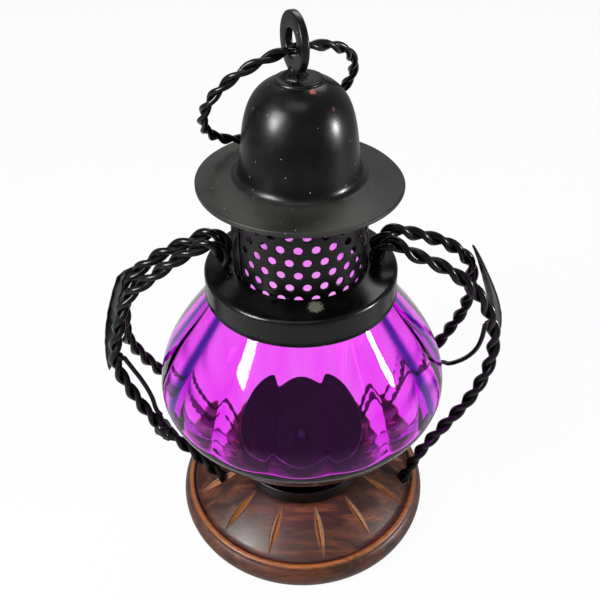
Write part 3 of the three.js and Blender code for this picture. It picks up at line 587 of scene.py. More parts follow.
def seat_profile():
    """A pressed dish that flares to a rolled rim, open in the middle."""
    lip = SEAT_WALL / 2
    foot, floor, inside = SEAT_FOOT_RADIUS, BASE_TOP + SEAT_WALL, SEAT_FOOT_RADIUS - SEAT_WALL
    outer = joined((HOLE_RADIUS, BASE_TOP), (foot - 1, BASE_TOP), arc(foot - 1, BASE_TOP + 1, 1, -90, 0, 6),
                   bezier([(foot, BASE_TOP + 1), (foot + 0.2, BASE_TOP + 5),
                           (SEAT_RADIUS - 1, SEAT_TOP - 3), (SEAT_RADIUS, SEAT_TOP - lip)], 16))
    rim = arc(SEAT_RADIUS - lip, SEAT_TOP - lip, lip, 0, 180, 10)
    inner = joined((SEAT_RADIUS - SEAT_WALL, SEAT_TOP - lip), (inside, floor + 0.8), (inside - 0.8, floor),
                   (HOLE_RADIUS, floor))
    return joined(outer, rim, inner)


def cup_profile():
    """A wide pressed dish: flat floor, rounded corner, flared side and a small rolled rim."""
    side = CUP_RADIUS - CUP_BEAD
    turn = (CUP_FOOT_RADIUS, CUP_FLOOR)
    corner = bezier([(CUP_FOOT_RADIUS - 2, CUP_FLOOR), turn, turn, (CUP_FOOT_RADIUS + 1, CUP_FLOOR + 1.9)], 8)
    bead = arc(side, CUP_TOP - CUP_BEAD, CUP_BEAD, -60, 200, 14)
    outer = joined((HOLE_RADIUS, CUP_FLOOR), corner, bead)
    inner = joined((side - CUP_WALL, CUP_TOP - 2 * CUP_BEAD), corner[::-1] + (-CUP_WALL, CUP_WALL),
                   (HOLE_RADIUS, CUP_FLOOR + CUP_WALL))
    return joined(outer, inner)


def pillar_profile():
    """A turned spacer with flanges at both ends and a waist between them."""
    foot, head, radius = lowest("cup_pillar"), highest("cup_pillar"), reach("cup_pillar")
    height = head - foot
    waist = bezier([(radius, foot + 1), (radius * PILLAR_WAIST, foot + height * 0.25),
                    (radius * PILLAR_WAIST, foot + height * 0.75), (radius, head - 1)], 24)
    return joined((HOLE_RADIUS, foot), (radius, foot), waist, (radius, head), (HOLE_RADIUS, head))


def screw_profile():
    """A pan head on a plain shank that ends in a point."""
    foot, head, radius = lowest("cup_screw"), highest("cup_screw"), reach("cup_screw")
    under = CUP_FLOOR + CUP_WALL
    dome = bezier([(radius, under), (radius, head - 0.4), (radius * 0.7, head), (0, head)], 14)
    tip = joined((0, foot), (SCREW_RADIUS / 2, foot), (SCREW_RADIUS, foot + SCREW_TIP))
    return joined(tip, (SCREW_RADIUS, under), dome)


turned("pressed_seat", seat_profile(), IRON_ENAMEL, "lantern", ["glass_seat"])
turned("candle_dish", cup_profile(), SOOT, "lantern", ["candle_cup"], 96)
turned("turned_pillar", pillar_profile(), SOOT, "lantern", ["cup_pillar"], 64)
turned("pan_head_screw", screw_profile(), DARK_STEEL, "lantern", ["cup_screw"], 48, closed=False)


# Glass

GLASS_WALL = 2.4
GLASS_HEEL = 0.8
GLASS_EQUATOR = 61.8
FOOT_NECK_RADIUS = 32.6
FOOT_NECK_HEIGHT = 12.5
TOP_NECK_RADIUS = 36.4
TOP_NECK_HEIGHT = 7.8
LOBE_DEPTH = 0.06
RIB_DEPTH = 1.9
RIB_ROUNDING = 0.015
LOBE_FADE = 0.6
LOBE_STEPS = 24
RIM_RADIUS = 0.8
SEAT_PLAY = 0.3


def glass_outline():
    """The outer outline, from the foot in the seat, out to the equator and in to the neck."""
    foot = np.array([FOOT_NECK_RADIUS, GLASS_FOOT + FOOT_NECK_HEIGHT])
    neck = np.array([TOP_NECK_RADIUS, GLASS_TOP - TOP_NECK_HEIGHT])
    equator = np.array([GLASS_RADIUS, GLASS_FOOT + GLASS_EQUATOR])

    def swell(start, radial, upright):
        return start + (equator - start) * (radial, upright)

    lower = bezier([foot, swell(foot, 0.39, 0.4), swell(foot, 1, 0.857), equator], 44)
    upper = bezier([equator, swell(neck, 1, 0.66), swell(neck, 0.35, 0.32), neck], 44)
    seat_inside = SEAT_FOOT_RADIUS - SEAT_WALL - SEAT_PLAY
    neck_foot = line((seat_inside, GLASS_FOOT), foot, 8)
    return joined(neck_foot, lower, upper, line(neck, (TOP_NECK_RADIUS, GLASS_TOP - RIM_RADIUS), 6))


def glass_globe():
    """The mould-blown globe: outer and inner wall in one closed surface with fire-polished rims.

    Each valley draws the wall in by d (1 - sqrt(sin(15 a / 2)^2 + e)), where d grows from neck and foot and
    is twice as deep in front as behind.
    The outside is nearly smooth and the inside stands in as a sharp rib, so the wall is thick at a rib.
    """
    outside = glass_outline()
    sunk = np.clip((GLASS_FOOT + GLASS_EQUATOR - outside[:, 1]) / (GLASS_EQUATOR - FOOT_NECK_HEIGHT), 0, 1)
    inside = moved_in(outside, GLASS_WALL + GLASS_HEEL * np.sin(np.pi * sunk)[:, None])[::-1]
    rim = GLASS_TOP - RIM_RADIUS
    inside[:, 1] = np.clip(inside[:, 1], GLASS_FOOT, rim)
    top = arc(TOP_NECK_RADIUS - RIM_RADIUS, rim, RIM_RADIUS, 0, 90, 6)
    top_inner = arc(TOP_NECK_RADIUS - GLASS_WALL + RIM_RADIUS, rim, RIM_RADIUS, 90, 180, 6)
    profile = joined(outside, top, top_inner, inside)
    full = np.where(np.arange(len(profile)) < len(outside), LOBE_DEPTH, LOBE_DEPTH + RIB_DEPTH)
    low, high = GLASS_FOOT + FOOT_NECK_HEIGHT, GLASS_TOP - TOP_NECK_HEIGHT
    climb = np.clip((profile[:, 1] - low) / (high - low), 0, 1)
    angle = even_angles(LOBES * LOBE_STEPS)
    depth = (full * np.sin(np.pi * climb) ** LOBE_FADE)[:, None] * (0.75 + 0.25 * np.cos(angle))
    wave = np.sqrt(np.sin(LOBES * (angle - VALLEY_ANGLE) / 2) ** 2 + RIB_ROUNDING)
    r = profile[:, 0][:, None] - depth * np.clip(1 - wave, 0, 1)
    grid = around_z(r, angle, profile[:, 1:])
    return grid_piece("melon_glass", grid, VIOLET, "lantern", ["glass_globe"], wrap_rows=True)


glass_globe()


# Collar

COLLAR_WALL = 1.1
COLLAR_RISE = 1.3
COLLAR_BEND = 1.9
COLLAR_FLARE = 0.5
WELL_DEPTH = 3.4
WELL_LEDGE = 2.4
WELL_RADIUS = 28


def collar_profile():
    """A skirt with a flared lip, a rounded shoulder, a plate that climbs inward, and the gallery's well."""
    radius = COLLAR_RADIUS - COLLAR_FLARE
    edge = COLLAR_TOP - COLLAR_RISE
    inner = radius - COLLAR_WALL
    ledge = COLLAR_TOP - WELL_DEPTH
    lip = arc(COLLAR_RADIUS - 0.55, COLLAR_FOOT + 0.55, 0.55, -180, 0, 10)
    flare = bezier([(COLLAR_RADIUS, COLLAR_FOOT + 0.6), (COLLAR_RADIUS - 0.1, COLLAR_FOOT + 1.2),
                    (radius, COLLAR_FOOT + 1.4), (radius, COLLAR_FOOT + 3)], 8)
    shoulder = arc(radius - COLLAR_BEND, edge - COLLAR_BEND, COLLAR_BEND, 0, 84, 12)
    hole, back, below = WELL_RADIUS - WELL_LEDGE, WELL_RADIUS + COLLAR_WALL, ledge - COLLAR_WALL
    well = joined(line(shoulder[-1], (WELL_RADIUS + 0.8, COLLAR_TOP), 10),
                  arc(WELL_RADIUS + 0.6, COLLAR_TOP - 0.6, 0.6, 80, 180, 8),
                  (WELL_RADIUS, ledge + 0.4), (WELL_RADIUS - 0.4, ledge), (hole, ledge), (hole, below),
                  (back - 0.5, below), (back, below + 0.5), (back, COLLAR_TOP - COLLAR_WALL))
    under = joined((inner - 1, edge - COLLAR_WALL), (inner, edge - COLLAR_BEND - 0.4),
                   (inner, COLLAR_FOOT + 2))
    return joined(lip, flare, shoulder, well, under)


turned("pressed_collar", collar_profile(), COLLAR_ENAMEL, "lantern", ["top_collar"], 200)


# Perforated gallery

SHEET = 0.8
VENT_COLUMNS = 25
VENT_ROWS = 6
VENT_RADIUS = 1.75
VENT_PITCH = 5.75
VENT_FIRST = 2.3
VENT_ANGLE = np.radians(-2.1)
EDGE_ROUND = 0.12
STRIP_LIFT = 0.05
SEAM_ANGLE = np.radians(-69)
SEAM_WIDTH = 8.7
CELL_TOP = 8
CELL_SIDE = 6


def cell_outline(width, height):
    """Points round a rectangular cell, and the angles of the same points on the hole."""
    top = line((width / 2, height / 2), (-width / 2, height / 2), CELL_TOP + 1)[:-1]
    left = line((-width / 2, height / 2), (-width / 2, -height / 2), CELL_SIDE + 1)[:-1]
    points = np.concatenate([top, left, -top, -left])
    return points, np.arctan2(points[:, 1], points[:, 0])


def vent_gallery():
    """The rolled perforated strip.

    Each hole sits in its own cell, every second row half a cell on. A cell's rings lead from its outline
    to the round hole, over the punched edge, through the wall and back out on the inner side; each point
    (u, v) of a ring lands at angle u / R and height v. A plain band closes the top and a thin edge the foot.
    """
    width = TURN * GALLERY_RADIUS / VENT_COLUMNS
    outline, around = cell_outline(width, VENT_PITCH)
    circle = np.stack([np.cos(around), np.sin(around)], -1)
    wide, edge = VENT_RADIUS + 0.55, VENT_RADIUS + EDGE_ROUND
    shapes = [outline, circle * wide, circle * edge, circle * VENT_RADIUS,
              circle * VENT_RADIUS, circle * edge, circle * wide, outline]
    sink = np.array([0, 0, 0.02, EDGE_ROUND, SHEET - EDGE_ROUND, SHEET - 0.02, SHEET, SHEET])
    rings = np.stack(shapes)
    row, column = np.meshgrid(np.arange(VENT_ROWS), np.arange(VENT_COLUMNS), indexing="ij")
    turn = VENT_ANGLE + TURN * (column + 0.5 * (row % 2)) / VENT_COLUMNS
    angle = turn[..., None, None] + rings[..., 0] / GALLERY_RADIUS
    height = GALLERY_FOOT + VENT_FIRST + VENT_PITCH * row[..., None, None] + rings[..., 1]
    low, high = GALLERY_FOOT + STRIP_LIFT, GALLERY_TOP
    height = np.clip(height, low, high)
    points = around_z(GALLERY_RADIUS - sink[:, None], angle, height).reshape(-1, 3)
    count, ring_count = outline.shape[0], len(sink)
    one = grid_faces(ring_count, count, False, True)
    first = np.arange(VENT_ROWS * VENT_COLUMNS)[:, None, None] * ring_count * count
    faces = (one[None] + first).reshape(-1, 4)
    band_foot = GALLERY_FOOT + VENT_FIRST + VENT_PITCH * (VENT_ROWS - 0.5)
    inner = GALLERY_RADIUS - SHEET
    band = joined((GALLERY_RADIUS, band_foot), (GALLERY_RADIUS, high - EDGE_ROUND),
                  (GALLERY_RADIUS - EDGE_ROUND, high), (inner + EDGE_ROUND, high),
                  (inner, high - EDGE_ROUND), (inner, band_foot))
    foot = np.array([(GALLERY_RADIUS, low), (inner, low)])
    last_shift = TURN * (0.5 * ((VENT_ROWS - 1) % 2)) / VENT_COLUMNS
    for profile, shift in ((band, last_shift), (foot, 0)):
        edge_grid = turned_grid(profile, even_angles(VENT_COLUMNS * CELL_TOP) + VENT_ANGLE + shift)
        faces = np.concatenate([faces, grid_faces(*edge_grid.shape[:2], False, True, len(points))])
        points = np.concatenate([points, edge_grid.reshape(-1, 3)])
    return make_piece("pierced_drum", points, faces, IRON_ENAMEL, "lid", GALLERY_PANELS)


def gallery_seam():
    """The lapped end of the strip: a thin slab bent round the drum, with rounded long edges."""
    foot = COLLAR_TOP + SEAT_PLAY
    half = SEAM_WIDTH / 2
    section = joined(arc(half, 0, SHEET / 2, -90, 90, 9), line((half, SHEET / 2), (-half, SHEET / 2), 12),
                     arc(-half, 0, SHEET / 2, 90, 270, 9), line((-half, -SHEET / 2), (half, -SHEET / 2), 12))
    section = section[:-1]
    height = np.linspace(foot, GALLERY_TOP, 24)[:, None]
    angle = SEAM_ANGLE + section[:, 0] / GALLERY_RADIUS
    radius = GALLERY_RADIUS + SHEET / 2 + section[:, 1] - 0.02
    return grid_piece("gallery_seam", capped(around_z(radius, angle, height)), IRON_ENAMEL, "lid", ())


vent_gallery()
gallery_seam()


# Hood

HOOD_WALL = 1
BRIM_LIP = 2
BRIM_RISE = 1.7
DOME_RADIUS = 23.7
DOME_HEIGHT = 36.9
DOME_FILLET = 4
CAP_RADIUS = 9.2
BRIM_LEAN = 0.025


def hood_outline():
    """The outer outline, from the turned-down lip over the brim and up the dome to the small raised disc."""
    outer = BRIM_FOOT + BRIM_LIP
    inner = outer + BRIM_RISE
    fillet = DOME_RADIUS + DOME_FILLET
    top = inner + DOME_HEIGHT
    lip = joined(line((BRIM_RADIUS, BRIM_FOOT), (BRIM_RADIUS, outer - 0.7), 4),
                 arc(BRIM_RADIUS - 0.7, outer - 0.7, 0.7, 0, 88, 8))
    brim = line(lip[-1], (fillet, inner), 24)
    start = (DOME_RADIUS, inner + DOME_FILLET)
    turn = bezier([(fillet, inner), (DOME_RADIUS + 1.4, inner + 0.1),
                   (DOME_RADIUS + 0.4, inner + 1.4), start], 14)
    dome = bezier([start, (DOME_RADIUS * 0.9, inner + DOME_HEIGHT * 0.45),
                   (DOME_RADIUS * 0.95, inner + DOME_HEIGHT * 0.88), (CAP_RADIUS, top)], 60)
    cap_edge = (CAP_RADIUS - 0.9, CAP_TOP - 0.1)
    cap = joined(bezier([(CAP_RADIUS, top), (CAP_RADIUS - 0.1, top + 0.3), (CAP_RADIUS - 0.2, CAP_TOP - 0.2),
                         cap_edge], 8), line(cap_edge, (0, CAP_TOP), 8))
    return joined(lip, brim, turn, dome, cap)


def hood():
    """The spun hood, its wall following the outline inside.

    The brim leans by k x and waves by a few tenths of a millimetre, both growing from the dome outward.
    """
    outside = hood_outline()
    inside = moved_in(outside, HOOD_WALL)[::-1]
    inside[0] = (0, CAP_TOP - HOOD_WALL)
    inside[-1, 1] = BRIM_FOOT
    profile = joined(outside, inside)
    angle = even_angles(220)
    grid = turned_grid(profile, angle)
    sway = 0.15 * np.sin(2 * angle + 0.6) + 0.1 * np.sin(5 * angle + 2) + 0.06 * np.sin(9 * angle)
    out = np.clip((profile[:, 0] - DOME_RADIUS) / (BRIM_RADIUS - DOME_RADIUS), 0, 1)[:, None]
    grid[..., 2] += (sway - BRIM_LEAN * grid[..., 0]) * out
    grid[..., 2] = np.maximum(grid[..., 2], BRIM_FOOT)
    return grid_piece("spun_hood", grid, HOOD_ENAMEL, "lid", ["hood"])


hood()


# Eye and ring

HINGE = np.array(RING_JOINT["pos_m"]) / MM
HINGE_AXIS = np.array(RING_JOINT["axis"], float)
EYE_RADIUS = 10.7
EYE_HOLE = 5
EYE_THICKNESS = 3
EYE_EDGE = 0.7
BRAZE_RADIUS = 5
BRAZE_HEIGHT = 3
RING_STRAND = 2.15
RING_LENGTH = 56
RING_WIDTH = 63
RING_TURNS = 10.5
RING_SLOPE = 54.7
WIRE_SIDES = 14
EYE_TURN = np.radians(22)
EYE_SHIFT = HINGE[0]


def hanging_eye():
    """A thick washer: a rounded square section turned about a level axis, upright on the hood."""
    half = EYE_THICKNESS / 2
    outer, inner, up = EYE_RADIUS - EYE_EDGE, EYE_HOLE + EYE_EDGE, half - EYE_EDGE
    corners = [(outer, up, 0), (inner, up, 90), (inner, -up, 180), (outer, -up, 270)]
    section = joined(*[arc(x, y, EYE_EDGE, start, start + 90, 6) for x, y, start in corners])
    angle = even_angles(96)
    axis = np.array([np.cos(EYE_TURN), np.sin(EYE_TURN), 0])
    across = np.cross(axis, (0, 0, 1))
    spoke = np.cos(angle)[:, None] * (0, 0, 1) + np.sin(angle)[:, None] * across
    centre = np.array([EYE_SHIFT, 0, EYE_TOP - EYE_RADIUS])
    grid = centre + section[:, 0][:, None, None] * spoke + section[:, 1][:, None, None] * axis
    return grid_piece("washer_eye", grid, HOOD_ENAMEL, "lid", ["hanging_eye"], wrap_rows=True)


def eye_braze():
    """The run of braze at the eye's foot: a mound whose edge wanders by a few tenths of a millimetre."""
    foot = CAP_TOP - 0.1
    rise = bezier([(BRAZE_RADIUS, foot), (BRAZE_RADIUS * 0.85, foot + 1.6), (BRAZE_RADIUS * 0.45, foot + 1.9),
                   (BRAZE_RADIUS * 0.36, foot + BRAZE_HEIGHT + 0.8)], 16)
    profile = joined((0, foot), rise, (0, rise[-1, 1]))
    angle = even_angles(64)
    grid = turned_grid(profile, angle)
    wander = 1 + 0.1 * np.sin(3 * angle + 1) + 0.06 * np.sin(7 * angle)
    grid[..., :2] *= wander[None, :, None]
    grid[..., 0] += EYE_SHIFT
    return grid_piece("eye_braze", grid, HOOD_ENAMEL, "lid", ())


def hanging_ring():
    """The oval ring: the pair's two wires are one closed wire that goes round twice.

    Its line is H + W/2 sin(a) X + L/2 (1 - cos(a)) Y, with X along the hinge and Y down the slope.
    """
    level = unit(np.cross((0, 0, 1), HINGE_AXIS))
    fall = np.cross(HINGE_AXIS, level)
    slope = np.radians(RING_SLOPE)
    back = np.cos(slope) * level - np.sin(slope) * fall
    sweep = np.linspace(0, 2 * TURN, 1440, endpoint=False)[:, None]
    centre = (HINGE + RING_WIDTH / 2 * np.sin(sweep) * HINGE_AXIS
              + RING_LENGTH / 2 * (1 - np.cos(sweep)) * back)
    guide = np.cross(HINGE_AXIS, back)
    grid = twisted_grid(centre, guide, RING_STRAND, 2 * RING_TURNS, WIRE_SIDES, closed=True)
    return grid_piece("twisted_ring", grid, WIRE_ENAMEL, "ring", ["hanging_ring"], wrap_rows=True)


hanging_eye()
eye_braze()
hanging_ring()


# Arms

ARM_STRAND = 3.1
ARM_TURNS = 9.25
ARM_SPACING = 9
ARM_MARGIN = 1.1
ARM_RISE = 10.2
ARM_UPRIGHT = 0.55
ARM_STEPS = 640
SOCKET_DEPTH = 5
ARM_REACH = GLASS_RADIUS + 20
ARM_CROWN = COLLAR_TOP + ARM_RISE
ARM_ROOT = WELL_RADIUS + ARM_STRAND + ARM_MARGIN

# An arm's side, its row, its free points and its foot. A free point is its share of the reach, its Y, and its
# share of the way up from the base to the crown. The foot is in shares of the base's radius.
ARM_ROUTES = {
    "arm_left_front": (-1, -1, [
        (0.569, -4.3, 0.959), (0.721, -4, 0.887), (0.884, -3.7, 0.791), (0.955, -3.7, 0.669),
        (1.006, -4.3, 0.531), (0.953, -6, 0.41), (0.831, -7.8, 0.25), (0.674, -9.4, 0.126)],
        (-0.661, -0.171)),
    "arm_left_back": (-1, 1, [
        (0.531, 4.6, 0.974), (0.71, 4, 0.919), (0.871, 3.8, 0.825), (0.936, 4.5, 0.685),
        (0.969, 11, 0.538), (0.94, 15, 0.448), (0.865, 20, 0.327), (0.767, 25, 0.202)], (-0.669, 0.467)),
    "arm_right_front": (1, -1, [
        (0.53, -6.4, 0.971), (0.706, -7.8, 0.918), (0.859, -8.8, 0.837), (0.971, -9, 0.711),
        (1, -9, 0.553), (0.935, -9.4, 0.387), (0.813, -9.8, 0.242), (0.687, -10, 0.089)], (0.829, -0.14)),
    "arm_right_back": (1, 1, [
        (0.599, 10, 0.958), (0.766, 14, 0.9), (0.891, 17.5, 0.813), (0.935, 22.5, 0.687),
        (0.928, 27.5, 0.545), (0.893, 30, 0.467), (0.853, 32, 0.393), (0.721, 35, 0.202)], (0.622, 0.56)),
}


def free_points(side, shares):
    """Free points of a route in millimetres."""
    reach_share, y, climb = np.array(shares, float).T
    return np.stack([side * reach_share * ARM_REACH, y, BASE_TOP + climb * (ARM_CROWN - BASE_TOP)], -1)


def arm_line(side, row, shares, foot):
    """An arm's centre line: upright on the collar, over the crown, down past the glass and into the wood."""
    root_y = row * ARM_SPACING / 2
    root = np.array([side * ARM_ROOT, root_y, ROOT_HEIGHT])
    rise = root + (0, 0, ARM_RISE * ARM_UPRIGHT)
    crown = np.array([side * (ARM_ROOT + ARM_STRAND * 1.5), root_y, ARM_CROWN])
    free = free_points(side, shares)
    foot_xy = np.array(foot) * BASE_RADIUS
    _, slope = base_profile()
    surface = np.append(foot_xy, np.interp(np.hypot(*foot_xy), slope[::-1, 0], slope[::-1, 1]))
    end = surface + SOCKET_DEPTH * unit(surface - free[-1])
    return through([root, rise, crown, *free, surface, end], ARM_STEPS)


# The collar's plate falls outward, so a root's outer side stands lower than the plate's top.
PLATE_WIDTH = COLLAR_RADIUS - COLLAR_FLARE - WELL_RADIUS
ROOT_HEIGHT = COLLAR_TOP - COLLAR_RISE * (ARM_ROOT - ARM_STRAND - WELL_RADIUS) / PLATE_WIDTH
ARM_LINES = {name: arm_line(*route) for name, route in ARM_ROUTES.items()}


def twisted_arm(node, centre):
    """Two round wires twisted right-handed about an arm's centre line, closed at both ends."""
    guide = np.array([0, 1, 0])
    grids = [twisted_grid(centre, guide, ARM_STRAND, ARM_TURNS, WIRE_SIDES, phase) for phase in (0, np.pi)]
    rows, sides = grids[0].shape[:2]
    points = np.concatenate([grid.reshape(-1, 3) for grid in grids])
    faces = np.concatenate([grid_faces(rows, sides, False, True, k * rows * sides) for k in (0, 1)])
    return make_piece(f"twisted_{node}", points, faces, WIRE_ENAMEL, "lantern", [node])


for arm_name, centre_line in ARM_LINES.items():
    twisted_arm(arm_name, centre_line)


# Leaves and tendrils

LEAF_THICKNESS = 1
LEAF_CREASE = 0.8
TENDRIL_RADIUS = 1.1

LEAVES = {
    "leaf_left": dict(arm="arm_left_back", side=-1, weld=0.4, above=23, below=42, width=15, cut=0.25,
                      bend_radius=600, braze=1.4, shift=1.5, turn=30, lean=6),
    "leaf_right": dict(arm="arm_right_back", side=1, weld=0.35, above=24, below=32, width=20, cut=0,
                       bend_radius=150, braze=0.1, shift=-12, turn=-9, lean=-9),
}


def turned_about(vector, axis, degrees):
    """A vector turned about an axis by the right-hand rule."""
    return np.array(Matrix.Rotation(np.radians(degrees), 3, Vector(axis)) @ Vector(vector))


def at_share(path, share):
    """The point and the direction of an evenly sampled path at a share of its length."""
    i = int(round(share * (len(path) - 1)))
    along = path[min(i + 1, len(path) - 1)] - path[max(i - 1, 0)]
    return path[i].copy(), unit(along)


def leaf(node, arm, side, weld, above, below, width, cut, bend_radius, braze, shift, turn, lean):
    """A thin blade, bent along its length, with a raised vein and a slightly torn rim.

    Its half width is w/2 sin(pi v)^0.8, where v runs from the cut to 1, on a spine that is an arc in the
    plane of down and outward. Across, it is a plate of thickness t |sin(b)|^0.35 with u = cos(b).
    """
    centre, down = at_share(ARM_LINES[arm], weld)
    down[1] = 0
    down = unit(down)
    outward = np.cross((0, -side, 0), down)
    outward, back = turned_about(outward, down, turn), turned_about((0, 1, 0), down, turn)
    down, outward = turned_about(down, back, lean), turned_about(outward, back, lean)
    centre = centre + outward * (ARM_STRAND + braze + LEAF_THICKNESS / 2) + back * shift
    t = np.linspace(0, 1, 90)
    bend = (-above + (above + below) * t) / bend_radius
    half = width / 2 * np.clip(np.sin(np.pi * (cut + (1 - cut) * t)), 0.004, 1) ** 0.8
    spine = centre + bend_radius * (np.sin(bend)[:, None] * down - (1 - np.cos(bend))[:, None] * outward)
    lift = np.cos(bend)[:, None] * outward + np.sin(bend)[:, None] * down
    b = even_angles(64)
    plate = LEAF_THICKNESS / 2 * np.sign(np.sin(b)) * np.abs(np.sin(b)) ** 0.35
    torn = 1 + 0.015 * np.sin(37 * t)[:, None] * np.cos(b) + 0.012 * np.sin(61 * t + 1)[:, None]
    across = half[:, None] * np.cos(b) * torn
    vein = LEAF_CREASE * (2 * half / width)[:, None] * (1 - np.abs(np.cos(b))) ** 1.6
    thin = np.clip(half / 1.2, 0.02, 1)[:, None]
    grid = spine[:, None] + across[..., None] * back + (plate * thin + vein)[..., None] * lift[:, None]
    return grid_piece(f"iron_{node}", capped(grid), IRON_ENAMEL, "lantern", [node])


for leaf_node, values in LEAVES.items():
    leaf(leaf_node, **values)

TENDRILS = {
    "tendril_left": (-1, [("arm_left_front", 0.5), ("arm_left_front", 0.72)], [
        (0.93, -2.4, 0.485), (0.886, -2.6, 0.42), (0.85, -3.4, 0.35), (0.83, -5, 0.293)]),
    "tendril_right": (1, [("arm_right_front", 0.4), ("arm_right_back", 0.8)], [
        (0.951, -4, 0.62), (0.947, -1, 0.555), (0.926, 3, 0.491),
        (0.893, 8, 0.432), (0.854, 13, 0.385), (0.826, 19, 0.35)]),
}


def tendril_ends(free, ends):
    """Where a tendril meets its arms: a place on each arm's centre line, the arm's direction there, the way
    off the arm towards the tendril, and the cosine between tendril and arm.
    """
    for (arm, share), neighbour in zip(ends, (free[0], free[-1])):
        seat, along = at_share(ARM_LINES[arm], share)
        leaving = unit(neighbour - seat)
        slant = leaving.dot(along)
        yield seat, along, unit(leaving - slant * along), slant


def tendril(node, side, ends, shares):
    """A thin round wire through its free points, each end reaching to the arm that it is brazed to."""
    free = free_points(side, shares)
    first, last = [seat + away * (ARM_STRAND + TENDRIL_RADIUS * abs(slant))
                   for seat, _, away, slant in tendril_ends(free, ends)]
    path = through([first, *free, last], 160)
    grid = tube_grid(path, np.array([1, 0, 0]), round_ends(path, TENDRIL_RADIUS, 1.0), 16)
    return grid_piece(f"wire_{node}", grid, WIRE_ENAMEL, "lantern", [node])


for tendril_node, route in TENDRILS.items():
    tendril(tendril_node, *route)


# Braze

def braze_blob(name, place, along, length, radius):
    """A lump of braze along a wire: an ellipsoid whose surface swells and sinks by a tenth in waves."""
    axis = unit(along)
    side = unit(np.cross(axis, (0, 1, 0.3)))
    up = np.cross(side, axis)
    a = np.linspace(0, np.pi, 20)[:, None]
    b = even_angles(28)[None, :]
    swell = 1 + 0.1 * np.sin(3 * b + 2 * a) * np.sin(a) + 0.07 * np.sin(5 * b - 3 * a + 1) * np.sin(a)
    grid = (place + (length / 2 * np.cos(a) * np.ones_like(b))[..., None] * axis
            + (radius * np.sin(a) * np.cos(b) * swell)[..., None] * side
            + (radius * np.sin(a) * np.sin(b) * swell)[..., None] * up)
    return grid_piece(name, grid, WIRE_ENAMEL, "lantern", ())


KNOT_HEIGHT = 55


def braze():
    """The welded knot low on the front left arm, and the lumps that hold the tendrils."""
    path = ARM_LINES["arm_left_front"]
    knot = len(path) // 2 + int(np.argmin(np.abs(path[len(path) // 2:, 2] - KNOT_HEIGHT)))
    place, along = at_share(path, knot / (len(path) - 1))
    braze_blob("braze_knot", place, along, 9.5, 4.1)
    braze_blob("braze_knot_end", place + 4.2 * along + (0, 0, -0.6), along, 6, 3.5)
    for node, (side, ends, shares) in TENDRILS.items():
        for k, (seat, along, away, _) in enumerate(tendril_ends(free_points(side, shares), ends)):
            braze_blob(f"braze_{node}_{k + 1}", seat + (ARM_STRAND - 0.6) * away, along, 5, 1.7)


braze()


# Stage, camera and lights

TABLE_SIZE = 4000
PAPER_GLOW = 0.95
PAPER_GLEAM = 0.15
ROOM_LIGHT = 0.25
CAMERA_HEIGHT = 323.0
CAMERA_DISTANCE = 247.7
AIM_HEIGHT = 128.4
AIM_SIDE = -0.53
CAMERA_ROLL = -0.62
FOCAL_PIXELS = 714.2
FRAME_PIXELS = 600
SENSOR = 36


def white_share(tree):
    """1 for the camera and rays through glass, PAPER_GLEAM for reflections, and 0 for all other light."""
    path = tree.add("ShaderNodeLightPath", {}).outputs
    clear = tree.maths("MAXIMUM", path["Is Camera Ray"], path["Is Transmission Ray"])
    return tree.maths("MAXIMUM", clear, tree.maths("MULTIPLY", path["Is Glossy Ray"], PAPER_GLEAM))


def white_backdrop():
    """Matt pale paper: white to the camera and through the glass, with a faint soft shadow."""
    material = bpy.data.materials.new("matt_white_paper")
    tree = Tree(material)
    paper = tree.add("ShaderNodeBsdfDiffuse", {"Color": linear("a8a8a8")}).outputs[0]
    glow = tree.add("ShaderNodeEmission", {"Color": linear("ffffff"), "Strength": 1.0}).outputs[0]
    tree.end(tree.mixed(tree.maths("MULTIPLY", white_share(tree), PAPER_GLOW), paper, glow))
    return material


def table():
    """A flat sheet far wider than the view."""
    half = TABLE_SIZE / 2 * MM
    mesh = bpy.data.meshes.new("table")
    corners = [(-half, -half, 0), (half, -half, 0), (half, half, 0), (-half, half, 0)]
    mesh.from_pydata(corners, [], [(0, 1, 2, 3)])
    mesh.materials.append(white_backdrop())
    add_object("table", mesh)


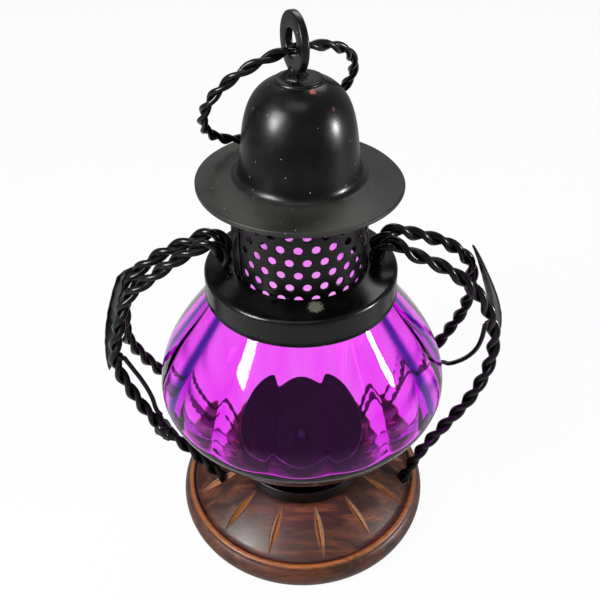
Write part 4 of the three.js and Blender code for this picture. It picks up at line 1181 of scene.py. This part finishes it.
def look(viewer, place, aim, roll=0.0):
    """Stands a camera or a lamp at a place and turns it to an aim, both in millimetres."""
    place, aim = Vector(place) * MM, Vector(aim) * MM
    turn = (aim - place).to_track_quat("-Z", "Y").to_matrix().to_4x4()
    viewer.matrix_world = Matrix.Translation(place) @ turn @ Matrix.Rotation(np.radians(roll), 4, "Z")


def camera():
    """The photograph's close view, tilted down on the lantern from the front."""
    lens = bpy.data.cameras.new("camera")
    lens.sensor_width = SENSOR
    lens.lens = FOCAL_PIXELS * SENSOR / FRAME_PIXELS
    lens.clip_start = 0.01
    eye = add_object("camera", lens)
    look(eye, (0, -CAMERA_DISTANCE, CAMERA_HEIGHT), (AIM_SIDE, 0, AIM_HEIGHT), CAMERA_ROLL)
    bpy.context.scene.camera = eye


def area_light(name, place, aim, size, power, shape="RECTANGLE"):
    """A soft lamp at a place, facing an aim, both in millimetres; size is its width and height."""
    lamp = bpy.data.lights.new(name, "AREA")
    lamp.shape = shape
    lamp.size, lamp.size_y = size[0] * MM, size[1] * MM
    lamp.energy = power
    look(add_object(name, lamp), place, aim)


def lights():
    """A pale room, a weak broad lamp overhead and one behind, two panes on the left and a lamp on the right.

    The three side lamps stand where the highlights on the dome and the glass put them.
    """
    world = bpy.data.worlds.new("pale_room")
    bpy.context.scene.world = world
    tree = Tree(world)
    strength = tree.mapped(white_share(tree), 0, 1, ROOM_LIGHT, 1.0)
    glow = tree.add("ShaderNodeBackground", {"Color": linear("ffffff"), "Strength": strength})
    tree.end(glow.outputs[0], "ShaderNodeOutputWorld")
    area_light("overhead", (-60, -300, 1000), (0, 0, 120), (500, 300), 1.4)
    area_light("window_behind", (60, 500, 760), (0, 0, 150), (500, 240), 3)
    area_light("window_left", (-500, -350, 560), (-10, -20, 150), (300, 260), 7)
    area_light("pane_left", (-500, -350, 405), (-10, -20, 150), (130, 150), 5)
    area_light("lamp_right", (690, -170, 280), (20, -20, 150), (70, 130), 7, "ELLIPSE")


table()
camera()
lights()
bpy.context.scene.view_settings.view_transform = "Standard"
